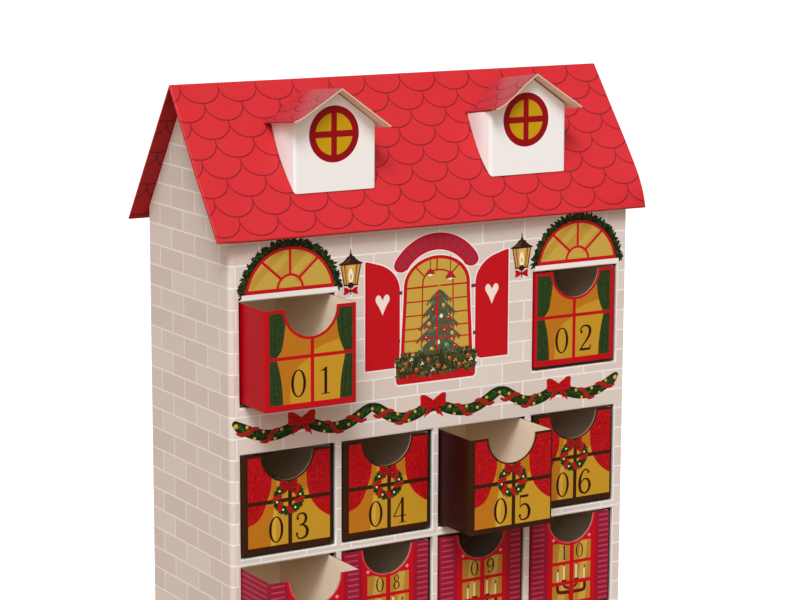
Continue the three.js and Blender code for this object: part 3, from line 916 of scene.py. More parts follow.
def garland():
    rng, out = random.Random(19), []
    first = [(0.26, -7.3), (0.5, -7.5), (0.85, -7.68), (1.3, -7.87), (1.9, -8.0), (2.4, -8.0), (2.9, -7.88), (3.3, -7.76), (3.7, -7.72)]
    half = [(0.0, -7.72), (0.6, -7.76), (1.05, -7.92), (1.6, -8.03), (2.1, -8.02), (2.6, -7.88), (3.1, -7.62), (3.5, -7.4), (3.82, -7.28)]
    ropes = [first]
    for b, nxt in ((3.7, 10.88), (10.88, 18.17)):
        k = (nxt - b) / 7.18
        ropes.append([(b + x * k, z) for x, z in half])
        ropes.append([(nxt - x * k * (7.18 - 3.76) / 3.82, z) for x, z in half[::-1]])
    ropes.append([(21.87 - x, z) for x, z in first[::-1]])
    for n, line in enumerate(ropes):
        path = smooth(line, 5)
        k = np.linspace(0, 1, len(path))
        ends = np.interp(k, [0, 0.06, 0.16, 0.84, 0.94, 1], [0.32, 0.44, 0.54, 0.54, 0.46, 0.36])
        out.append((stroke(path, ends), "rope_1"))
        out += [(ellipse(p[0], p[1], 0.17, 0.17, 14), "rope_1") for p in (path[0], path[-1])]
        d = np.gradient(path, axis=0)
        d /= np.linalg.norm(d, axis=1)[:, None]
        for i in range(1, len(path) - 1):
            up = arr([-d[i][1], d[i][0]])
            for off in (-0.17, -0.06, 0.05, 0.16):
                p = path[i] + up * (off + rng.uniform(-0.03, 0.03)) * ends[i] / 0.54 + d[i] * rng.uniform(-0.08, 0.08)
                a = math.degrees(math.atan2(d[i][1], d[i][0])) + rng.uniform(14, 46) * (1 if off < 0 else -1)
                if rng.random() < 0.75:
                    out.append((leaf(p[0], p[1], a, rng.uniform(0.15, 0.25), rng.uniform(0.05, 0.085)), rng.choice(("rope_2", "rope_2", "rope_3", "leaf_2"))))

    def twist(pts):
        c = smooth(pts, 5)
        w = 0.1 + 0.11 * np.sin(np.linspace(0.1, math.pi - 0.1, len(c)))
        out.append((stroke(c, w), "berry"))
        out.append((stroke(c[3:-4] + [0, -0.035], 0.02), "bow_shade"))

    left = [(0.3, -7.72), (0.6, -7.84), (0.95, -7.74), (1.2, -7.6), (1.5, -7.64)]
    low = [(1.52, -8.24), (1.85, -8.28), (2.05, -8.08), (2.22, -7.82), (2.5, -7.74)]
    twist(left)
    twist(low)
    twist([(21.87 - x, z) for x, z in left])
    twist([(21.87 - x, z) for x, z in low])
    dots = [(0.28, -7.4, 0.12), (0.85, -7.5, 0.085), (1.7, -7.8, 0.085), (1.23, -8.08, 0.085), (2.65, -7.8, 0.085), (2.3, -8.2, 0.085)]
    for b in (3.7, 10.88):
        twist([(b + 1.22, -7.72), (b + 1.5, -7.78), (b + 1.7, -8.05), (b + 1.9, -8.28), (b + 2.25, -8.28)])
        twist([(b + 2.36, -7.68), (b + 2.62, -7.64), (b + 2.95, -7.8), (b + 3.2, -7.92), (b + 3.5, -7.84)])
        twist([(b + 3.86, -7.7), (b + 4.1, -7.82), (b + 4.4, -7.75), (b + 4.7, -7.58), (b + 5.0, -7.64)])
        twist([(b + 5.05, -8.24), (b + 5.4, -8.28), (b + 5.6, -8.08), (b + 5.75, -7.84), (b + 5.98, -7.74)])
        dots += [(b + x, z, 0.085) for x, z in (
            (0.95, -7.77), (1.2, -8.17), (1.9, -7.87), (2.52, -8.0), (3.05, -7.57), (3.8, -7.4), (4.35, -7.53), (5.2, -7.8),
            (4.75, -8.08), (6.17, -7.8), (5.83, -8.2),
        )]
    for x, z, r in list(dots[:6]):
        dots.append((21.87 - x, z, r))
    for x, z, r in dots:
        out += bead(x, z, r)
    for b in (3.7, 10.88, 18.17):
        out += bow_shape(b, -7.45)
    return out


def front_door():
    """A double door between the two lowest drawers."""
    cx, out, rng = 11.04, [], random.Random(5)
    z0, z1 = -41.1, -35.62
    out.append((rect(cx - 2.1, cx + 2.1, z0 - 0.4, z1 + 0.12), "mortar"))
    out.append((rect(cx - 2.25, cx + 2.25, -41.5, -41.28), "stone"))
    out.append((rect(cx - 1.95, cx + 1.95, -41.28, z0), "stone"))
    out.append((rect(cx - 1.75, cx + 1.75, z0, z1), "print_red"))
    for s in (-1, 1):
        def leaf_rect(a, b, c, d):
            return rect(*sorted((cx + s * a, cx + s * b)), c, d)
        out.append((leaf_rect(0.05, 1.5, z0, z1 - 0.25), "door_red"))
        out.append((leaf_rect(0.2, 1.36, -38.35, z1 - 0.42), "door_shade"))
        out.append((leaf_rect(0.28, 1.28, -38.27, z1 - 0.5), "gold_light"))
        out.append((stroke(arr([(cx + s * 0.78 - 0.35, -38.1), (cx + s * 0.78 + 0.3, -36.3)]), 0.22), "gold_dark"))
        out.append((leaf_rect(0.75, 0.81, -38.27, z1 - 0.5), "door_red"))
        out.append((leaf_rect(0.28, 1.28, -37.24, -37.18), "door_red"))
        for a, b in ((-39.6, -38.6), (-40.9, -39.85)):
            out.append((leaf_rect(0.22, 1.34, a, b), "door_shade"))
            out.append((leaf_rect(0.29, 1.27, a + 0.07, b - 0.07), "print_red"))
            out.append((leaf_rect(0.4, 1.16, a + 0.18, b - 0.18), "door_red"))
        out.append((ellipse(cx + s * 0.16, -38.62, 0.07, 0.07, 12), "bead_gold"))
        # clipped tree in a pot
        tx = cx + s * 2.95
        out.append((arr([(tx - 0.42, -40.3), (tx + 0.42, -40.3), (tx + 0.3, -41.3), (tx - 0.3, -41.3)]), "pot"))
        out.append((rect(tx - 0.48, tx + 0.48, -40.45, -40.25), "print_red_dark"))
        out.append((arr([(tx - 0.62, -40.25), (tx + 0.62, -40.25), (tx + 0.08, -37.6), (tx - 0.08, -37.6)]), "leaf_1"))
        for _ in range(70):
            t = rng.uniform(0, 1)
            z = -40.2 + 2.5 * t
            w = 0.6 * (1 - t) + 0.06
            x = tx + rng.uniform(-w, w)
            out.append((leaf(x, z, 90 + (x - tx) / w * -75 + rng.uniform(-20, 20), rng.uniform(0.14, 0.24), 0.08), rng.choice(("leaf_1", "leaf_2", "leaf_3", "leaf_4"))))
        for k in range(5):
            x, z = tx + (0.28 if k % 2 else -0.24) * (1 - k / 6), -40.0 + 0.45 * k
            out += [(ellipse(x, z, 0.07, 0.07, 8), "berry")]
    for a in range(0, 360, 12):  # wreath over the meeting of the doors
        t = math.radians(a + rng.uniform(-4, 4))
        for r in (0.36, 0.46):
            out.append((leaf(cx + r * math.cos(t), -37.2 + r * math.sin(t), a + 90 + rng.uniform(-35, 35), 0.2, 0.1), rng.choice(("leaf_1", "leaf_2", "leaf_3"))))
    for a in range(30, 390, 60):
        t = math.radians(a)
        out.append((ellipse(cx + 0.42 * math.cos(t), -37.2 + 0.42 * math.sin(t), 0.06, 0.06, 8), "berry"))
    out += bow_shape(cx, -36.78, 0.5)
    return out


def build_wrap():
    rng = random.Random(3)
    top = [(WALL.start, wall_top(DEEP)), (WALL.end, wall_top(DEEP))]
    ks = sorted(set(WALL.knots + [SIDE_MID, OTHER_MID]))
    where, _ = WALL.at(arr(ks))
    top = [(w, wall_top(y)) for w, (x, y) in zip(ks, where)]
    outline = [(WALL.start, -41.5), (WALL.end, -41.5)] + top[::-1]
    holes = [rect(x - HALF_W, x + HALF_W, s, s + HIGH)[::-1] for x, s in OPENINGS]
    sheet = Sheet(outline, holes)
    for w in WALL.knots[1:-1]:
        sheet.fold([(w, -42), (w, 9)])
    for c in CREASES:
        for d in (-0.295, 0.295):
            sheet.fold([(c + d, -42), (c + d, 9)])
    lip = 0.08
    for x, s in OPENINGS:
        for e in EASE[1:]:
            d = e * lip
            r = rect(x - HALF_W - d, x + HALF_W + d, s - d, s + HIGH + d)
            sheet.fold(np.concatenate([r, r[:1]]))
    # bricks
    pitch, joint = 2.419, 0.075
    for k in range(-8, 42):
        shift = 0.308 if k % 2 == 0 else 0.308 + pitch / 2
        z1 = -k - joint / 2
        z0 = -(k + 1) + joint / 2
        if z1 < -41.5:
            continue
        j = math.floor((WALL.start - shift) / pitch) - 1
        while shift + j * pitch < WALL.end:
            w0, w1 = shift + j * pitch + joint / 2, shift + (j + 1) * pitch - joint / 2
            j += 1
            a, b = max(w0, WALL.start - 0.05), min(w1, WALL.end + 0.05)
            if b - a < 0.02:
                continue
            key = rng.choice(("brick_a", "brick_b", "brick_c", "brick_d", "brick_a", "brick_b", "brick_e"))
            sheet.ink(rect(a, b, max(z0, -41.6), z1), key)
    # a lighter ring over the rounded lip of each opening: painted highlight
    for x, z in OPENINGS:
        g = 0.06
        sheet.ink(ring(rect(x - HALF_W - g, x + HALF_W + g, z - g, z + HIGH + g), rect(x - HALF_W + 0.02, x + HALF_W - 0.02, z + 0.02, z + HIGH - 0.02)), "lip")
    sheet.inks(fanlight(3.13, 11))
    sheet.inks(fanlight(19.17, 12))
    sheet.inks(lantern(6.33))
    sheet.inks(lantern(15.88))
    sheet.inks(brick_arch())
    sheet.inks(shutters())
    sheet.inks(great_window())
    sheet.inks(greenery())
    sheet.inks(garland())
    sheet.inks(front_door())

    def surface(pts, back):
        plan, n = WALL.at(pts[:, 0])
        z = pts[:, 1]
        nz = np.zeros(len(pts))
        fall = np.zeros(len(pts))
        lean = np.zeros((len(pts), 2))  # along the print, up
        for x, s in OPENINGS:
            dx = np.abs(pts[:, 0] - x) - HALF_W
            dz = np.abs(z - s - HIGH / 2) - HIGH / 2
            d = np.maximum(dx, dz)
            m = d < lip
            if not m.any():
                continue
            drop, sine = rounded(np.clip(d[m], 0, lip), lip)
            fall[m] = drop
            side = dx[m] >= dz[m]
            lean[m] = np.where(
                side[:, None],
                np.stack([-np.sign(pts[m, 0] - x) * sine, 0 * sine], 1),
                np.stack([0 * sine, -np.sign(z[m] - s - HIGH / 2) * sine], 1),
            )
        keep = np.sqrt(np.maximum(1 - (lean ** 2).sum(1), 0.0))
        along = np.stack([-n[:, 1], n[:, 0]], 1)
        if back:
            p = plan - n * board_depth(pts[:, 0])[:, None]
            pos = metres(p[:, 0], p[:, 1], z)
            return pos, np.stack([-n[:, 0], -n[:, 1], nz], 1)
        p = plan - n * fall[:, None]
        pos = metres(p[:, 0], p[:, 1], z)
        nn = n * keep[:, None] + along * lean[:, :1]
        return pos, np.stack([nn[:, 0], nn[:, 1], lean[:, 1]], 1)

    piece = Piece()
    piece.board(
        sheet, "mortar", lambda p: surface(p, False), lambda p: surface(p, True),
        "lip", "board_inside",
    )
    piece.make("printed_wrap", "carcass", ("front_panel", "left_side_wall", "right_side_wall"))


def build_back():
    """The back panel, glued between the laps of the wrap."""
    rng = random.Random(9)
    gap, lip = 0.03, 0.02
    x0, x1 = LAP + gap, WIDE - LAP - gap
    z0, z1 = -41.5, wall_top(DEEP)
    sheet = Sheet(rect(x0, x1, z0, z1))
    for k in range(-2, 42):
        shift = 0.9 if k % 2 == 0 else 0.9 + 2.419 / 2
        a1, a0 = -k - 0.0375, -(k + 1) + 0.0375
        for j in range(-2, 10):
            w0, w1 = shift + j * 2.419 + 0.0375, shift + (j + 1) * 2.419 - 0.0375
            key = rng.choice(("brick_a", "brick_b", "brick_c", "brick_d", "brick_e"))
            sheet.ink(rect(max(w0, x0 - 0.01), min(w1, x1 + 0.01), max(a0, z0 - 0.01), min(a1, z1 + 0.01)) if w1 > x0 and w0 < x1 else rect(-90, -89, 0, 1), key)
    for d in (0.3 * lip, lip):
        r = rect(x0 + d, x1 - d, z0 + d, z1 - d)
        sheet.fold(np.concatenate([r, r[:1]]))

    def face(pts, out):
        if not out:
            return metres(pts[:, 0], np.full(len(pts), DEEP - 2 / 12), pts[:, 1]), np.tile([0.0, -1.0, 0.0], (len(pts), 1))
        d = np.minimum(np.minimum(pts[:, 0] - x0, x1 - pts[:, 0]), np.minimum(pts[:, 1] - z0, z1 - pts[:, 1]))
        drop, _ = rounded(np.clip(d, 0, lip), lip)
        return metres(pts[:, 0], DEEP - 0.015 - drop, pts[:, 1]), np.tile([0.0, 1.0, 0.0], (len(pts), 1))

    # seen from behind, so the print's left is the object's right
    flipped = Sheet(sheet.outline * [-1, 1] + [WIDE, 0])
    for p, k in sheet.shapes:
        flipped.ink(p * [-1, 1] + [WIDE, 0], k)
    for f in sheet.folds:
        flipped.fold(f * [-1, 1] + [WIDE, 0])

    def mirrored(pts, out):
        return face(pts * [-1, 1] + [WIDE, 0], out)

    piece = Piece()
    piece.board(flipped, "mortar", lambda p: mirrored(p, True), lambda p: mirrored(p, False), "board_inside", "board_inside")
    piece.make("back_board", "carcass", ("back_panel",))


# ---------------------------------------------------------------- inner boards
GREY = board_material("greyboard", (118, 110, 100), (140, 131, 119), 220)
# the shelves, ceilings, uprights and liners are dressed dark brown so the cells look dark behind the drawers: painted
# shade
CELL_SHADE_BROWN = board_material("lining_paper", (74, 56, 40), (88, 68, 50), 160)


def dress(node, material):
    o = bpy.data.objects[node]
    for s in o.material_slots:
        s.material = material


# ---------------------------------------------------------------- roof
def numeric(f, pts, eps=0.003):
    """Places and normals of a mapped sheet, from its own slopes."""
    pu, pv = np.array([eps, 0]), np.array([0, eps])
    n = np.cross(f(pts + pu) - f(pts - pu), f(pts + pv) - f(pts - pv))
    return f(pts), n / np.maximum(np.linalg.norm(n, axis=1), 1e-20)[:, None]


RISE = 1.4569
ROOF_X0, ROOF_X1 = 11.04 - 142.8 / 12, 11.04 + 142.8 / 12
EAVE_Y = 4.14 - 55.7 / 12
RIDGE_Z = 593.5 / 12 - 41.5
EAVE_Z = RIDGE_Z - RISE * 55.7 / 12
SLOPE = math.hypot(4.14 - EAVE_Y, RIDGE_Z - EAVE_Z)
ROOF_T = 1.5 / 12
SPRUNG = [(0, -0.05), (0.35, 0.07), (0.8, 0.2), (1.5, 0.29), (2.4, 0.3), (4, 0.23), (6, 0.11), (8.19, 0)]
_sp = smooth(SPRUNG, 6)


def sprung(x, s):
    """How far the front slope stands proud where its end has sprung away from the gable."""
    g = np.clip((x - 18.9) / (ROOF_X1 - 18.9), 0, 1)
    h = np.clip((1.3 - x) / (1.3 - ROOF_X0), 0, 1)
    return g ** 1.7 * np.interp(s, _sp[:, 0], _sp[:, 1]) + h ** 1.7 * np.interp(s, [0, 1.2, 3.5], [0.13, 0.1, 0])


def shingles(x0, x1, up=1, base=0.0, top=8.2, ink_key="roof_line", wide=0.066, seed=1):
    """Rows of round-ended shingles in outline; s runs up the slope from the eave."""
    rng, out = random.Random(seed), []
    half = 1.955 / 2
    for row, s in enumerate((1.05, 2.05, 3.05, 4.05, 5.05, 6.05, 7.0, 7.95)):
        first = 0.58 if row % 2 == 0 else -0.4
        j = math.floor((x0 - first) / 1.955) - 1
        while first + j * 1.955 < x1 + 1.0:
            xc = first + j * 1.955
            j += 1
            depth = 0.82 + rng.uniform(-0.015, 0.015)
            a = arc(xc + half, s, half, depth, 180, 360, 22)
            a = a + [[0, rng.uniform(-0.01, 0.01)]]
            w = wide * (0.8 + 0.35 * np.sin(np.linspace(0, math.pi, len(a))))
            tail = arr([(xc, s - 0.03), (xc + 0.008, s + 0.12), (xc, s + (0.2 if row < 7 else 0.14))])
            for line, ww in ((a, w), (tail, np.array([wide, wide * 0.8, wide * 0.55]))):
                p = stroke(line, ww)
                p[:, 1] = base + up * p[:, 1]
                out.append((p if up > 0 else p[::-1], ink_key))
    return out


def build_roof():
    ridge = SLOPE
    sheet = Sheet(rect(ROOF_X0, ROOF_X1, 0, 2 * ridge))
    r, lip = 0.07, 0.055
    theta = math.atan(RISE)
    section = Path([(0, 0), (4.14 - EAVE_Y, RIDGE_Z - EAVE_Z), (2 * (4.14 - EAVE_Y), 0)], [0, r, 0], segments=6)
    # the rounded ridge is a little shorter than the sharp one: the ends stay where they are
    scale = (section.end - section.start) / (2 * ridge)
    for k in section.knots[1:-1]:
        sheet.fold([(ROOF_X0 - 1, k / scale), (ROOF_X1 + 1, k / scale)])
    sheet.fold([(ROOF_X0 - 1, ridge), (ROOF_X1 + 1, ridge)])
    for e in (0.035, 0.13, 0.29, 0.5, 1.0):
        d = e * lip
        q = rect(ROOF_X0 + d, ROOF_X1 - d, d, 2 * ridge - d)
        sheet.fold(np.concatenate([q, q[:1]]))
    for x in np.arange(18.9, ROOF_X1, 0.42):
        sheet.fold([(x, -1), (x, ridge)])
    for x in np.arange(1.3, ROOF_X0 + 0.1, -0.42):
        sheet.fold([(x, -1), (x, ridge)])
    for s in (0.3, 0.6, 0.95, 1.35, 1.8, 2.3, 2.9, 3.6, 4.5, 5.5, 6.6, 7.5):
        sheet.fold([(18.9, s), (ROOF_X1 + 1, s)])
        if s < 4:
            sheet.fold([(ROOF_X0 - 1, s), (1.3, s)])
    sheet.inks(shingles(ROOF_X0, ROOF_X1, seed=1))
    sheet.inks(shingles(ROOF_X0, ROOF_X1, up=-1, base=2 * ridge, seed=2))
    normal = np.array([0.0, -math.sin(theta), math.cos(theta)])

    def outer(p):
        q, n = section.at(np.clip(p[:, 1], -0.1, 2 * ridge + 0.1) * scale)
        d = np.minimum(np.minimum(p[:, 0] - ROOF_X0, ROOF_X1 - p[:, 0]), np.minimum(p[:, 1], 2 * ridge - p[:, 1]))
        drop, _ = rounded(np.clip(d, 0, lip), lip)
        q = q + n * drop[:, None]
        b = sprung(p[:, 0], p[:, 1]) * (p[:, 1] < ridge)
        return metres(p[:, 0], q[:, 0] + EAVE_Y + normal[1] * b, q[:, 1] + EAVE_Z + normal[2] * b)

    def inner(p):
        t = ROOF_T
        n = arr([math.sin(theta), -math.cos(theta)])
        a = arr([EAVE_Y, EAVE_Z]) + n * t
        apex = arr([4.14, RIDGE_Z - t / math.cos(theta)])
        v = p[:, 1]
        f = np.clip(v / ridge, 0, 2)
        front = a + (apex - a) * np.minimum(f, 1)[:, None]
        back_end = arr([2 * 4.14 - a[0], a[1]])
        back = apex + (back_end - apex) * np.clip(f - 1, 0, 1)[:, None]
        q = np.where((f <= 1)[:, None], front, back)
        b = sprung(p[:, 0], v) * (v < ridge)
        return metres(p[:, 0], q[:, 0] + normal[1] * b, q[:, 1] + normal[2] * b)

    piece = Piece()

    def inside(p):
        q, n = numeric(inner, p)
        return q, -n

    # the underside takes the darker copies of the top's red and lines: painted shade
    piece.board(sheet, "roof_red", lambda p: numeric(outer, p), inside, "roof_red", "under_red", {"roof_line": "under_line"})
    piece.make("folded_roof", "carcass", ("roof_board",))


# ---------------------------------------------------------------- dormers
CARD = 0.8 / 12


def ux(mm):
    return mm / 12 + 11.04


def uy(mm):
    return mm / 12 + 4.14


def uz(mm):
    return mm / 12 - 41.5


LIFT = 0.3 * math.hypot(1, RISE) / 12
GLUE = 0.62 * math.hypot(1, RISE) / 12  # the walls' lower edges stand this far off the shingles


def roof_z(y):
    return RIDGE_Z - RISE * np.abs(y - 4.14)


DORMERS = {
    "left": dict(gable=[(-35.9, 570.1), (-61.5, 588.9), (-82.4, 577.4), (-87.8, 573.7)], y=-41.8, lean=0.2, fall=0.105, bow=(1.5, 1.9, 0.6),
                 ridge=(-61.6, -49.3, 591.6), wing=[(30.2, -22.4), (0, 0), (-20.8, -12.0), (-26.3, -15.1), (-31.2, -16.7)],
                 round=(5.815, 5.63, 1.32)),
    "right": dict(gable=[(93.8, 573.8), (69.6, 590.6), (61.0, 585.6), (50.5, 577.7), (41.4, 572.6)], y=-41.0, lean=-0.5, fall=0.145, bow=(2.1, 2.1, 0.9),
                  ridge=(69.6, -46.5, 593.6),
                  wing=[(30.0, -20.4), (0, 0), (-8.6, -5.5), (-19.0, -13.3), (-23.9, -16.3), (-27.4, -18.0), (-30.1, -18.8)],
                  round=(16.54, 5.71, 1.31)),
}


def build_dormer_body(side):
    d = DORMERS[side]
    gable = arr([(ux(x), uz(z)) for x, z in d["gable"]])[::-1]
    (x0, left), (x1, right) = gable[0], gable[-1]
    y0 = uy(d["y"])
    foot = float(roof_z(y0))
    k = d["lean"] / 12 / (left - foot)
    mid = (x0 + x1) / 2
    back, back_right = (uy((e - d["fall"] * -d["y"] - 593.5) / (RISE + d["fall"])) for e in (d["gable"][-1][1], d["gable"][0][1]))
    b1, b2, b3 = (b / 12 for b in d["bow"])
    belly_at = smooth([(0, 0), (0.3, b1 * 0.96), (0.6, b2 * 0.98), (1, b3)], 6)
    fold = 0.13
    straight = back - y0 - fold
    start = x0 + fold - (straight + math.pi / 2 * fold)
    plan = Path([(x0, back), (x0, y0), (x1, y0), (x1, back_right)], [0, fold, fold, 0], start=start, segments=6)

    def place(p, t=0.0):
        q, n = plan.at(p[:, 0])
        q = q - n * t
        far = np.clip((q[:, 1] - y0) / (back - y0), 0, 1)
        lean = k * (p[:, 1] - foot) * (1 - far)
        belly = np.interp(far, belly_at[:, 0], belly_at[:, 1]) * (q[:, 0] < mid)
        return metres(q[:, 0] - belly, q[:, 1] - lean, p[:, 1])

    def low(w):
        q, _ = plan.at(arr([w]))
        z = foot
        for _ in range(30):
            y = q[0, 1] - k * (z - foot) * min(max((back - q[0, 1]) / (back - y0), 0), 1)
            z = 0.5 * z + 0.5 * (float(roof_z(y)) + GLUE)
        return z

    def high(w):
        q, _ = plan.at(arr([w]))
        x, y = q[0]
        slope = float(np.interp(x, gable[:, 0], gable[:, 1]))
        return min((left if x < mid else right) - d["fall"] * (y - y0), slope) if y > y0 + 1e-6 else slope

    ws = sorted(set(plan.knots + list(np.linspace(plan.start, plan.end, 40)) + [float(x) for x in gable[1:-1, 0]]))
    bottom = [(w, low(w)) for w in ws]
    top = [(w, max(high(w), low(w) + 0.004)) for w in ws]
    outline = bottom + top[::-1]
    sheet = Sheet(outline)
    for w in plan.knots[1:-1] + list(np.linspace(plan.start, plan.knots[1], 10)[1:-1]):
        sheet.fold([(w, 0), (w, 9)])
    cx, cz, r = d["round"]
    sheet.ink(ellipse(cx, cz, r, r, 64), "round_red")
    for a in (0, 90, 180, 270):
        m = 0.15
        q = arc(0, 0, r * 0.745, r * 0.745, math.degrees(math.asin(m / (r * 0.745))), 90 - math.degrees(math.asin(m / (r * 0.745))), 16)
        q = np.concatenate([[(m, m)], q])
        sheet.ink(moved(q, cx, cz, turn=a), "round_gold")
    piece = Piece()

    def inside(p):
        q, n = numeric(lambda v: place(v, CARD), p)
        return q, -n

    piece.board(sheet, "white_card", lambda p: numeric(place, p), inside, "white_card", "white_card")
    piece.make(f"dormer_{side}_walls", "carcass", (f"dormer_{side}_body",))


def build_dormer_roof(side):
    d = DORMERS[side]
    wing = [(a / 12, b / 12) for a, b in d["wing"][::-1]]
    bends = {"left": [0, 1.8, 1.6, 0.05, 0], "right": [0, 1.2, 1.6, 1.6, 2.4, 0.05, 0]}[side]
    section = Path(wing, bends, segments=5)
    phi = math.atan(d["fall"])
    rx, ry, rz = ux(d["ridge"][0]), uy(d["ridge"][1]), uz(d["ridge"][2])
    c, s = math.cos(phi), math.sin(phi)

    def point(w, y, t=0.0):
        q, n = section.at(w)
        q = q + n * t
        return rx + q[:, 0], ry + y * c + q[:, 1] * s, rz - y * s + q[:, 1] * c

    def reach(w):
        lo, hi = 0.0, 6.0
        for _ in range(30):
            m = (lo + hi) / 2
            x, y, z = point(arr([w]), arr([m]))
            if z[0] > roof_z(y[0]) + LIFT + 0.01 and y[0] < 4.14:
                lo = m
            else:
                hi = m
        return lo

    ws = sorted(set(section.knots + list(np.linspace(0, section.end, 46))))
    far = np.array([reach(w) for w in ws])

    def place(p, t=0.0):
        y = p[:, 1]
        if t:
            y = y * (1 - 0.051 / np.interp(p[:, 0], ws, far))
        x, yy, z = point(p[:, 0], y, t)
        return metres(x, yy, z)

    sheet = Sheet([(w, 0.0) for w in ws] + [(w, f) for w, f in zip(ws[::-1], far[::-1])])
    for w in section.knots[1:-1]:
        sheet.fold([(w, -1), (w, 8)])
    lip = 0.03
    sheet.fold([(-1, lip), (9, lip)])
    sheet.fold([(-1, 0.3 * lip), (9, 0.3 * lip)])
    # outlines of the shingles, a little smaller than on the main roof; each wing's run down to its own eave
    apex_w = next(w for w in section.knots if section.at(arr([w]))[0][0][0] >= -1e-9)
    shift = 0.35 if side == "left" else 0.1
    for wing_side in (-1, 1):
        for row in range(3):
            for j in range(-1, 4):
                y = shift + 1.7 * j + (0.85 if row % 2 else 0)
                w = apex_w + wing_side * (0.75 + 0.78 * row)
                a = arc(0, 0, 0.85, 0.62, 0, 180, 14)
                line = np.stack([w + wing_side * (a[:, 1] - 0.2), y + a[:, 0]], 1)
                line = line[(line[:, 0] - apex_w) * wing_side > 0.06]
                if len(line) > 3:
                    sheet.ink(stroke(line, 0.068), "dormer_line")

    def outer(p):
        q, n = numeric(place, p)
        drop, _ = rounded(np.clip(p[:, 1], 0, lip), lip)
        return q - n * (drop * U * 0.5)[:, None], n

    def inside(p):
        q, n = numeric(lambda v: place(v, CARD), p)
        return q, -n

    def rim(p):
        return ["dormer_edge" if y < 0.02 and 0.02 < w < section.end - 0.02 else "dormer_red" for w, y in p]

    piece = Piece()
    piece.board(sheet, "dormer_red", outer, inside, rim, "dormer_under")
    piece.make(f"dormer_{side}_folded_roof", "carcass", (f"dormer_{side}_roof",))


# ---------------------------------------------------------------- drawers
DW, DL, DH, DT, NR = 56.8 / 24, 93 / 12, 55.9 / 12, 0.7 / 12, 16 / 12
PW, PH = 2.308, 4.617  # half width and height that the fronts are drawn at


def curve_digit(points, widths):
    c = smooth(points, 5)
    widths = [q * 1.2 + 0.014 for q in widths]
    w = np.interp(np.linspace(0, 1, len(c)), np.linspace(0, 1, len(widths)), widths)
    return stroke(c, w)


def digit_shapes(n):
    if n == 0:
        return [ring(ellipse(0, 0.5, 0.3, 0.51, 36), ellipse(0, 0.5, 0.19, 0.465, 36))]
    if n == 1:
        return [rect(-0.055, 0.06, 0.01, 0.98), rect(-0.17, 0.17, 0, 0.035), arr([(0.05, 1.0), (0.02, 1.0), (-0.08, 0.93), (-0.2, 0.885), (-0.2, 0.855), (-0.04, 0.87), (0.05, 0.9)])]
    if n == 2:
        return [
            curve_digit([(-0.21, 0.74), (-0.2, 0.88), (-0.1, 0.975), (0.03, 0.985), (0.18, 0.92), (0.225, 0.76), (0.17, 0.56), (0.0, 0.33), (-0.15, 0.15), (-0.25, 0.03)],
                        [0.03, 0.04, 0.04, 0.045, 0.075, 0.1, 0.08, 0.05, 0.04, 0.03]),
            arr([(-0.27, 0), (0.24, 0), (0.29, 0.21), (0.26, 0.21), (0.2, 0.095), (-0.2, 0.095)]), ellipse(-0.18, 0.75, 0.06, 0.065, 10),
        ]
    if n == 3:
        return [
            curve_digit([(-0.19, 0.8), (-0.16, 0.92), (-0.03, 0.985), (0.12, 0.94), (0.18, 0.79), (0.13, 0.62), (-0.02, 0.545), (-0.1, 0.54)], [0.03, 0.04, 0.04, 0.065, 0.095, 0.07, 0.04, 0.03]),
            curve_digit([(-0.08, 0.54), (0.06, 0.525), (0.19, 0.42), (0.235, 0.27), (0.18, 0.09), (0.0, 0.012), (-0.15, 0.05), (-0.23, 0.2)], [0.03, 0.045, 0.085, 0.105, 0.08, 0.04, 0.035, 0.03]),
            ellipse(-0.17, 0.8, 0.055, 0.06, 10), ellipse(-0.2, 0.2, 0.058, 0.062, 10),
        ]
    if n == 4:
        return [stroke(arr([(0.11, 1.0), (-0.27, 0.29)]), 0.048), rect(-0.3, 0.29, 0.26, 0.3), rect(0.045, 0.16, 0.01, 1.0), rect(-0.05, 0.26, 0, 0.035)]
    if n == 5:
        return [
            arr([(-0.18, 1.0), (0.21, 1.0), (0.17, 0.9), (-0.18, 0.9)]), rect(-0.2, -0.17, 0.52, 1.0),
            curve_digit([(-0.19, 0.53), (-0.08, 0.61), (0.05, 0.625), (0.18, 0.52), (0.235, 0.33), (0.18, 0.1), (0.0, 0.012), (-0.14, 0.05), (-0.22, 0.18)], [0.03, 0.04, 0.05, 0.085, 0.105, 0.08, 0.04, 0.035, 0.03]),
            ellipse(-0.19, 0.19, 0.058, 0.062, 10),
        ]
    if n in (6, 9):
        s = [
            curve_digit([(0.19, 0.88), (0.08, 0.975), (-0.08, 0.93), (-0.21, 0.7), (-0.25, 0.4), (-0.19, 0.12), (-0.01, 0.015), (0.16, 0.1), (0.235, 0.32), (0.17, 0.53), (0.01, 0.605), (-0.14, 0.52), (-0.21, 0.38)],
                        [0.03, 0.04, 0.045, 0.08, 0.105, 0.085, 0.04, 0.07, 0.1, 0.07, 0.04, 0.035, 0.03]),
            ellipse(0.17, 0.87, 0.055, 0.06, 10),
        ]
        return s if n == 6 else [(arr([0, 1.0]) - p) for p in s]
    if n == 7:
        return [arr([(-0.26, 0.78), (-0.23, 0.78), (-0.19, 0.9), (0.2, 0.9), (0.27, 0.95), (0.27, 1.0), (-0.24, 1.0)]), curve_digit([(0.255, 0.97), (0.12, 0.64), (0.01, 0.32), (-0.02, 0.01)], [0.03, 0.05, 0.09, 0.115])]
    return [ring(ellipse(0, 0.765, 0.2, 0.235, 28), ellipse(0, 0.765, 0.115, 0.19, 28)), ring(ellipse(0, 0.275, 0.25, 0.285, 30), ellipse(0, 0.275, 0.145, 0.235, 30))]


def number(text, xs, z, height, wide=1.0):
    out = []
    for ch, x in zip(text, xs):
        for p in digit_shapes(int(ch)):
            out.append((p * [height * wide, height] + [x, z], "digit"))
    return out


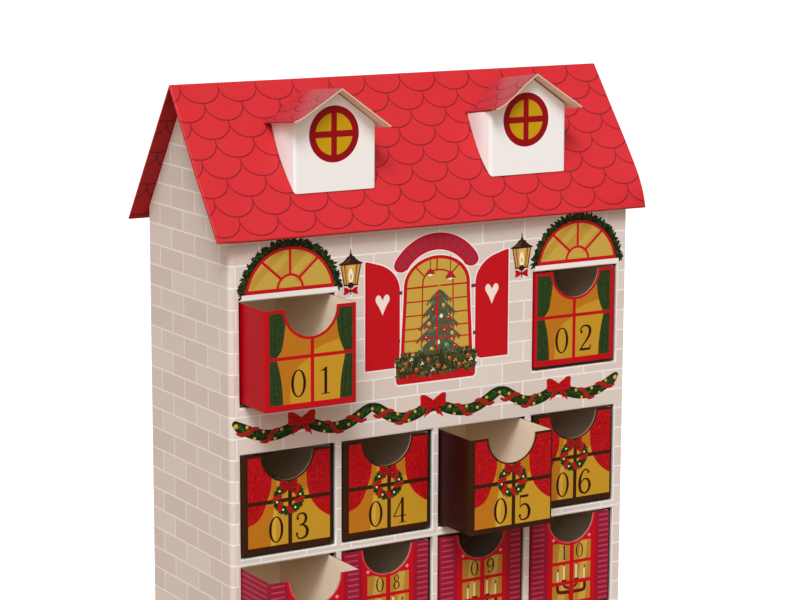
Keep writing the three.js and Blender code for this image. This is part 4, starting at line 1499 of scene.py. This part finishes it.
def red_print(n, rng):
    dx = {1: 0.0}.get(n, -0.11)
    m = 0.05 + dx
    x0, x1, z0, z1 = -2.1 + dx, 2.1 + dx / 2, 0.25, PH - 0.14
    x1 = min(x1, PW - 0.09)
    out = [(rect(x0, x1, z0, z1 + 0.1), "drawer_gold_deep")]
    out.append((smooth([(m + 0.05, 2.3), (m + 0.05, 2.62), (m + 0.7, 2.85), (m + 1.4, 3.0), (m + 1.8, 3.02), (m + 1.8, 2.3)], 1), "drawer_gold"))
    out.append((arr([(m - 1.12, z0), (m - 1.1, 1.2), (m - 0.95, 1.62), (m - 0.6, 2.0), (m, 2.35), (m, z0)]), "drawer_gold"))
    out.append((rect(m, x1, z0, 2.33), "drawer_gold"))
    left = smooth([(-1.42, 4.6), (-1.28, 4.0), (-1.3, 3.76), (-1.38, 3.26), (-1.48, 2.76), (-1.73, 2.42)], 4)
    left2 = smooth([(-1.73, 2.3), (-1.62, 1.9), (-1.52, 1.4), (-1.45, 0.8), (-1.43, 0.2)], 4)
    right = smooth([(1.32, 4.6), (1.28, 4.1), (1.29, 3.86), (1.37, 3.26), (1.52, 2.76), (1.68, 2.42)], 4)
    right2 = smooth([(1.72, 2.3), (1.64, 1.9), (1.54, 1.4), (1.47, 0.8), (1.45, 0.2)], 4)
    for c, e in ((left, x0 - dx / 2), (left2, x0 - dx / 2), (right, 2.25), (right2, 2.25)):
        out.append((np.concatenate([c, [(e, c[-1][1]), (e, c[0][1])]]) + [dx / 2, 0], "curtain_green"))
        for f in (0.3, 0.62):  # folds
            q = c * (1 - f) + np.stack([np.full(len(c), e), c[:, 1]], 1) * f
            out.append((stroke(q[1:-1], 0.02) + [dx / 2, 0], "leaf_1"))
    out.append((rect(m - 0.09, m + 0.09, z0, z1), "drawer_red"))
    out.append((rect(x0, x1, 2.27, 2.43), "drawer_red"))
    out = [(p + [0, 0.05], k) for p, k in out]
    out.append((ring(round_rect(-PW - 0.3, PW + 0.3, -0.3, PH + 0.3, 0), rect(x0, x1, z0 + 0.05, z1)), "drawer_red"))
    out.append((ellipse(0, PH, NR + 0.1, NR + 0.12, 60), "drawer_red"))
    out += number(f"{n:02d}", (m - 0.70, m + 0.67), 0.58, 1.25)
    return out


def wreath(cx, cz, rng):
    out = []
    out.append((ring(ellipse(cx, cz, 0.79, 0.76, 40), ellipse(cx, cz, 0.42, 0.4, 40)), "wreath_green"))
    for i in range(44):
        a = i * 360 / 44 + rng.uniform(-2, 2)
        t = math.radians(a)
        for r, lean in ((0.7, -42), (0.54, 214)):
            q = (cx + r * math.cos(t), cz + r * 0.97 * math.sin(t))
            out.append((leaf(q[0], q[1], a + lean + rng.uniform(-14, 14), rng.uniform(0.17, 0.22), 0.1), ("wreath_green_2", "wreath_green", "leaf_1")[(i + (r < 0.6)) % 3]))
    for a in (-30, 24, 158, 206, 262):  # ribbon wound round it
        t0, t1 = math.radians(a), math.radians(a + 24)
        q = smooth([
            (cx + 0.36 * math.cos(t0), cz + 0.35 * math.sin(t0)), (cx + 0.56 * math.cos((t0 + t1) / 2), cz + 0.54 * math.sin((t0 + t1) / 2)),
            (cx + 0.79 * math.cos(t1), cz + 0.77 * math.sin(t1)),
        ], 4)
        out.append((stroke(q, 0.18), "wreath_red"))
        out.append((stroke(q[1:-1] + [0.035, 0.0], 0.028), "wreath_red_2"))
    for a in (10, 60, 140, 192, 242, 304):
        t = math.radians(a)
        out.append((ellipse(cx + 0.61 * math.cos(t), cz + 0.59 * math.sin(t), 0.055, 0.055, 10), "wreath_cream"))
    out += [(p, {"bow": "wreath_bow", "bow_shade": "wreath_bow_line"}[k]) for p, k in bow_shape(cx, cz + 0.62, 0.62)]
    return out


def wreath_print(n, rng):
    m = 0.12
    x0, x1, z0, z1 = -2.03, 2.19, 0.27, PH - 0.11
    out = [(rect(x0, x1, z0, z1), "drawer_gold")]
    out.append((arr([(x0, z0), (x0, 1.6), (m - 1.5, 1.8), (m - 1.0, 2.6), (m - 0.9, 4.0), (m - 0.62, 4.0), (m - 0.75, 2.4), (m - 0.95, 1.4), (m - 1.02, z0)]), "drawer_gold_deep"))
    out.append((arr([(m - 0.98, z0), (m - 0.9, 1.5), (m - 0.72, 2.5), (m - 0.52, 2.5), (m - 0.7, 1.5), (m - 0.76, z0)]), "drawer_gold_pale"))
    out.append((arr([(m + 0.25, 2.4), (m + 0.9, 2.75), (m + 1.0, 4.0), (m + 0.25, 4.0)]), "drawer_gold_deep"))
    left = smooth([(-0.95, 4.7), (-0.93, 3.5), (-1.0, 2.85), (-1.15, 2.45), (-1.4, 1.85), (-1.7, 1.5), (-2.2, 1.3)], 5)
    right = smooth([(0.84, 4.7), (0.85, 3.5), (0.9, 2.85), (1.0, 2.45), (1.2, 2.05), (1.5, 1.7), (1.86, 1.42), (2.1, 1.3)], 5)
    for c, e in ((left, x0), (right, x1)):
        q = np.concatenate([c + [m, 0], [(e, c[-1][1]), (e, c[0][1])]])
        out.append((q, "curtain_red"))
        for f in (0.35, 0.7):
            g = c + [m, 0]
            g = g * (1 - f) + np.stack([np.full(len(g), e), g[:, 1] * 0.72 + 0.9], 1) * f
            out.append((stroke(g[3:-5], 0.02), "wreath_red_2"))
    out.append((rect(m - 0.1, m + 0.1, z0, z1), "drawer_brown"))
    out.append((rect(x0, x1, 2.26, 2.45), "drawer_brown"))
    out.append((ring(rect(-PW - 0.3, PW + 0.3, -0.3, PH + 0.3), rect(x0, x1, z0, z1)), "drawer_brown"))
    out.append((ellipse(0, PH, NR + 0.07, NR + 0.07, 60), "drawer_brown"))
    out += wreath(m - 0.07, 2.43, rng)
    out += number(f"{n:02d}", (m - 0.72, m + 0.6), 0.4, 1.23)
    return out


def louvre_print(n, rng):
    out = [(rect(-PW - 9, PW + 9, -0.3, PH + 0.3), "louvre")]
    z = 0.12
    while z < PH:
        for a, b in ((-2.24, -1.56), (1.66, 2.24), (-PW - 7.5, -PW - 0.25), (PW + 0.25, PW + 7.5)):
            out.append((round_rect(a, b, z, z + 0.085, 0.035, 2), "louvre_pale"))
        z += 0.268
    out.append((rect(-1.45, 1.57, -0.3, PH + 0.3), "louvre_plain"))
    out.append((rect(-1.35, 1.47, -0.3, PH + 0.3), "door_frame"))
    for a, b in ((-1.05, -0.05), (0.2, 1.2)):
        for c, d in ((2.35, 3.3), (1.33, 2.18), (0.25, 1.13)):
            out.append((rect(a, b, c, d), "pane"))
            out.append((arr([(a, c), (a + 0.28, c), (a + 0.42, d), (a, d)]), "pane_deep"))
            out.append((arr([(b - 0.3, c), (b, c), (b, d), (b - 0.2, d)]), "pane_deep"))
    out.append((ellipse(0, PH, NR + 0.15, NR + 0.15, 60), "door_frame"))
    out.append((ring(ellipse(0, PH, NR + 0.02, NR + 0.045, 60), ellipse(0, PH, NR - 0.1, NR - 0.1, 60)), "pink_line"))
    for x in (-1.02, 1.1):
        star = [((0.12 if i % 2 == 0 else 0.055) * math.sin(math.pi * i / 4), (0.12 if i % 2 == 0 else 0.055) * math.cos(math.pi * i / 4)) for i in range(8)]
        out.append((arr(star) + [x, 3.52], "star"))
    # candles and their holder, behind the panes
    for x, top in ((-0.72, 1.85), (-0.35, 2.1), (0.37, 2.1), (0.85, 1.85)):
        out.append((rect(x - 0.075, x + 0.075, 1.33, top), "candle"))
        out.append((rect(x + 0.03, x + 0.075, 1.33, top), "pane_deep"))
        out.append((smooth([(x, top + 0.2), (x + 0.055, top + 0.08), (x, top + 0.01), (x - 0.055, top + 0.08)], 3, True), "candle_flame"))
    for x, z in ((-0.35, 1.36), (0.37, 1.36), (-0.72, 1.22), (0.85, 1.22)):
        out.append((rect(x - 0.14, x + 0.14, z - 0.07, z + 0.05), "holder"))
    q = smooth([(-0.72, 1.2), (-0.74, 0.95), (-0.6, 0.78), (0.05, 0.74), (0.75, 0.74), (0.87, 0.92), (0.85, 1.2)], 5)
    out.append((stroke(q, 0.18), "holder"))
    for x in (-0.35, 0.37):
        out.append((stroke(smooth([(x, 1.36), (x, 1.1), (x * 0.5, 0.98), (0.05, 0.95)], 4), 0.13), "holder"))
    out.append((rect(-0.08, 0.18, 0.4, 1.0), "holder"))
    for a, b in ((1.33 - 0.2, 1.33), (2.18, 2.35)):
        out.append((rect(-1.06, 1.21, a, b), "door_frame"))
    out.append((rect(-0.05, 0.2, 0.1, 3.3), "door_frame"))
    out.append((rect(-1.35, 1.47, -0.3, 0.25), "door_frame"))
    out += number(f"{n:02d}", (-0.37, 0.53), 2.45, 0.72, 0.96)
    return out


STYLE = {}
for n in range(1, 25):
    STYLE[n] = "red" if n <= 2 or n >= 23 else "wreath" if n <= 6 or 11 <= n <= 14 or 19 <= n <= 22 else "louvre"


def build_drawer(n):
    rng = random.Random(100 + n)
    node = f"drawer_{n:02d}"
    lo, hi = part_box(node)
    ox, oy, oz = (lo[0] + hi[0]) / 2, lo[1], lo[2]
    r = 0.085
    start = -DW + r - ((DW - r) + (DL - 2 * r) + math.pi * r)
    plan = Path([(0, DL), (-DW, DL), (-DW, 0), (DW, 0), (DW, DL), (0, DL)], [0, r, r, r, r, 0], start=start, segments=5)
    w0, w1 = plan.start, plan.end
    notch = arc(0, DH, NR, NR, 180, 360, 44)
    notch[0, 1] = notch[-1, 1] = DH
    outline = np.concatenate([[(w0, 0), (w1, 0), (w1, DH)], notch[::-1], [(w0, DH)]])
    sheet = Sheet(outline)
    for w in plan.knots[1:-1]:
        sheet.fold([(w, -1), (w, DH + 1)])
    foot = 0.05
    for e in EASE[1:]:
        sheet.fold([(w0 - 1, e * foot), (w1 + 1, e * foot)])
    base, maker = {
        "red": ("drawer_red_side", red_print), "wreath": ("drawer_brown_side", wreath_print), "louvre": ("louvre", louvre_print),
    }[STYLE[n]]
    shapes = [(p * [DW / PW, DH / PH], k) for p, k in maker(n, rng)]
    if STYLE[n] == "red":
        sheet.ink(rect(-DW - 0.1, DW + 0.02, -1, 9), "drawer_red")
    if STYLE[n] == "wreath":
        sheet.ink(rect(-DW - 0.05, DW + 0.05, -1, 9), "drawer_brown")
    for p, k in shapes:
        wide = STYLE[n] == "louvre"
        if wide or (p[:, 0].max() < DW + 0.4 and p[:, 0].min() > -DW - 0.4):
            sheet.ink(p, k)

    def at(p, t=0.0):
        q, nn = plan.at(p[:, 0])
        if t:
            q = q - nn * t
        else:
            drop, sine = rounded(np.clip(p[:, 1], 0, foot), foot)
            q = q - nn * drop[:, None]
        return np.stack([ox + q[:, 0] * U, oy + q[:, 1] * U, oz + p[:, 1] * U], 1), nn

    def outer(p):
        q, nn = at(p)
        _, sine = rounded(np.clip(p[:, 1], 0, foot), foot)
        c = np.sqrt(np.maximum(1 - sine ** 2, 0))
        return q, np.stack([nn[:, 0] * c, nn[:, 1] * c, -sine], 1)

    def inner(p):
        q, nn = at(p, DT)
        return q, np.stack([-nn[:, 0], -nn[:, 1], np.zeros(len(p))], 1)

    piece = Piece()
    pts, tri, keys = sheet.split(base)
    piece.faces(*outer(pts), tri, keys)
    rim = border(tri)
    top = [(i, j) for i, j in rim if not (pts[i, 1] < 1e-4 and pts[j, 1] < 1e-4) and not (abs(pts[i, 0] - pts[j, 0]) < 1e-6 and (abs(pts[i, 0] - w0) < 1e-4 or abs(pts[i, 0] - w1) < 1e-4))]
    a, b = pts[[i for i, _ in top]], pts[[j for _, j in top]]
    level = (a[:, 1] > DH - 1e-4) & (b[:, 1] > DH - 1e-4)
    for m, key in ((level, base), (~level, "card_edge")):
        piece.quads(outer(b[m])[0], outer(a[m])[0], inner(a[m])[0], inner(b[m])[0], key)
    # the underside
    low = [(i, j) for i, j in rim if pts[i, 1] < 1e-4 and pts[j, 1] < 1e-4]

    def cap(points, z_up, key):
        flat = [Vector((p[0], p[1])) for p in points]
        res = delaunay_2d_cdt(flat, [(i, (i + 1) % len(flat)) for i in range(len(flat))], [], 1, 1e-9, False)
        z = points[0][2]
        v = arr([(p[0], p[1], z) for p in res[0]])
        t = arr(res[2]).astype(int)
        c = v[t]
        up = np.cross(c[:, 1] - c[:, 0], c[:, 2] - c[:, 0])[:, 2] > 0
        c[up != z_up] = c[up != z_up][:, ::-1]
        # take the very same corners as the wall has
        tree = kdtree.KDTree(len(points))
        for i, p in enumerate(points):
            tree.insert(p, i)
        tree.balance()
        for f in c:
            for q in f:
                _, i, dist = tree.find(q)
                if dist < 2e-6:
                    q[:] = points[i]
        piece.flat(c, [key] * len(c))

    order = sorted({i for e in low for i in e}, key=lambda i: pts[i, 0])
    loop = outer(pts[order])[0][:-1]
    cap(loop, False, base)
    # the inside
    inside = Sheet(np.concatenate([[(w0, DT), (w1, DT), (w1, DH)], notch[::-1], [(w0, DH)]]))
    knots = [w for w in plan.knots]
    for w in knots[1:-1]:
        inside.fold([(w, DT), (w, DH + 1)])
    edges = list(zip(a, b)) + [((p, DT), (q, DT)) for p, q in zip(knots, knots[1:])] + [((w1, DT), (w1, DH)), ((w0, DH), (w0, DT))]
    ip, it, _ = inside.split("cream_card", plain=True, rim=edges)
    tree = kdtree.KDTree(len(a))
    for i, p in enumerate(a):
        tree.insert((p[0], p[1], 0), i)
    tree.balance()
    for i, p in enumerate(ip):
        _, j, dist = tree.find((p[0], p[1], 0))
        if dist < 2e-4:
            ip[i] = a[j]
    q, nn = inner(ip)
    piece.faces(q, nn, it[:, ::-1], ["cream_card"] * len(it))
    floor_rim = sorted({i for e in border(it) for i in e if abs(ip[i, 1] - DT) < 1e-5}, key=lambda i: ip[i, 0])
    cap(inner(ip[floor_rim])[0][:-1], True, "cream_card")
    piece.make(f"{node}_tray", node, (node,))


# ---------------------------------------------------------------- floor, light and camera
def floor():
    me = bpy.data.meshes.new("floor")
    r = 26.0
    me.from_pydata([(-r, -r, 0), (r, -r, 0), (r, r, 0), (-r, r, 0)], [], [(0, 1, 2, 3)])
    m, t, s = new_material("studio_floor")
    where = t.nodes.new("ShaderNodeTexCoord").outputs["Object"]
    s.inputs["Base Color"].default_value = (0.94, 0.94, 0.94, 1)
    s.inputs["Specular IOR Level"].default_value = 0.2
    s.inputs["Emission Color"].default_value = (1, 1, 1, 1)
    s.inputs["Emission Strength"].default_value = GLOW
    t.links.new(spread(t, noise(t, where, 3.0), 0.75, 0.85), s.inputs["Roughness"])
    me.materials.append(m)
    o = bpy.data.objects.new("floor", me)
    o.visible_diffuse = False
    o.visible_glossy = False
    bpy.context.scene.collection.objects.link(o)


def lights():
    world = bpy.data.worlds.new("studio")
    world.use_nodes = True
    t = world.node_tree
    bg = t.nodes["Background"]
    bg.inputs[1].default_value = 1.0
    where = t.nodes.new("ShaderNodeTexCoord").outputs["Generated"]
    split = t.nodes.new("ShaderNodeSeparateXYZ")
    t.links.new(where, split.inputs[0])
    ramp = t.nodes.new("ShaderNodeValToRGB")
    e = ramp.color_ramp.elements
    e[0].position, e[0].color = 0.42, [c * LOW for c in (1.0, 0.72, 0.55)] + [1]
    e[1].position, e[1].color = 0.58, [c * HIGH_UP for c in (1.0, 0.995, 0.985)] + [1]
    shift = t.nodes.new("ShaderNodeMapRange")
    shift.inputs["From Min"].default_value = -1.0
    shift.inputs["From Max"].default_value = 1.0
    t.links.new(split.outputs[2], shift.inputs["Value"])
    t.links.new(shift.outputs[0], ramp.inputs[0])
    t.links.new(ramp.outputs[0], bg.inputs[0])
    bpy.context.scene.world = world

    def sun(name, way, spread_angle, strength, colour):
        lamp = bpy.data.lights.new(name, "SUN")
        lamp.angle = spread_angle
        lamp.energy = strength * math.pi
        lamp.color = colour
        o = bpy.data.objects.new(name, lamp)
        d = Vector(way).normalized()
        o.location = d * 2
        o.rotation_euler = d.to_track_quat("Z", "Y").to_euler()
        bpy.context.scene.collection.objects.link(o)

    sun("key", (-0.36, -0.50, 0.83), 0.36, KEY, (0.85, 0.96, 1.0))
    sun("fill", (-0.50, -0.66, 0.80), 0.90, FILL, (1.0, 0.99, 0.975))


def camera():
    cam = bpy.data.cameras.new("camera")
    cam.sensor_fit = "HORIZONTAL"
    cam.sensor_width = 36.0
    cam.lens = 110.977
    cam.clip_start, cam.clip_end = 0.05, 80
    o = bpy.data.objects.new("camera", cam)
    o.matrix_world = Matrix((
        (0.85532268, 0.09082647, -0.51007222, -0.73423462),
        (-0.51808372, 0.15662645, -0.84086706, -1.21978724),
        (0.00351782, 0.98347278, 0.18102187, 0.72198386),
        (0, 0, 0, 1),
    ))
    bpy.context.scene.collection.objects.link(o)
    bpy.context.scene.camera = o


LOW, HIGH_UP, KEY, FILL, GLOW = 0.50, 0.40, 0.80, 0.36, 0.10

camera()
floor()
lights()
build_wrap()
build_back()
build_roof()
for side in ("left", "right"):
    build_dormer_body(side)
    build_dormer_roof(side)
for n in range(1, 25):
    build_drawer(n)

view = bpy.context.scene.view_settings
view.view_transform = "Standard"
view.look = "None"
view.exposure = 0.0
view.gamma = 1.0

for name in ("base_panel", "loft_board"):
    dress(name, GREY)
# the cells' inner boards take the dark brown of painted shade
for name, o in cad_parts.items():
    if name.startswith(("shelf_row", "ceiling_row", "upright", "liner")):
        dress(name, CELL_SHADE_BROWN)
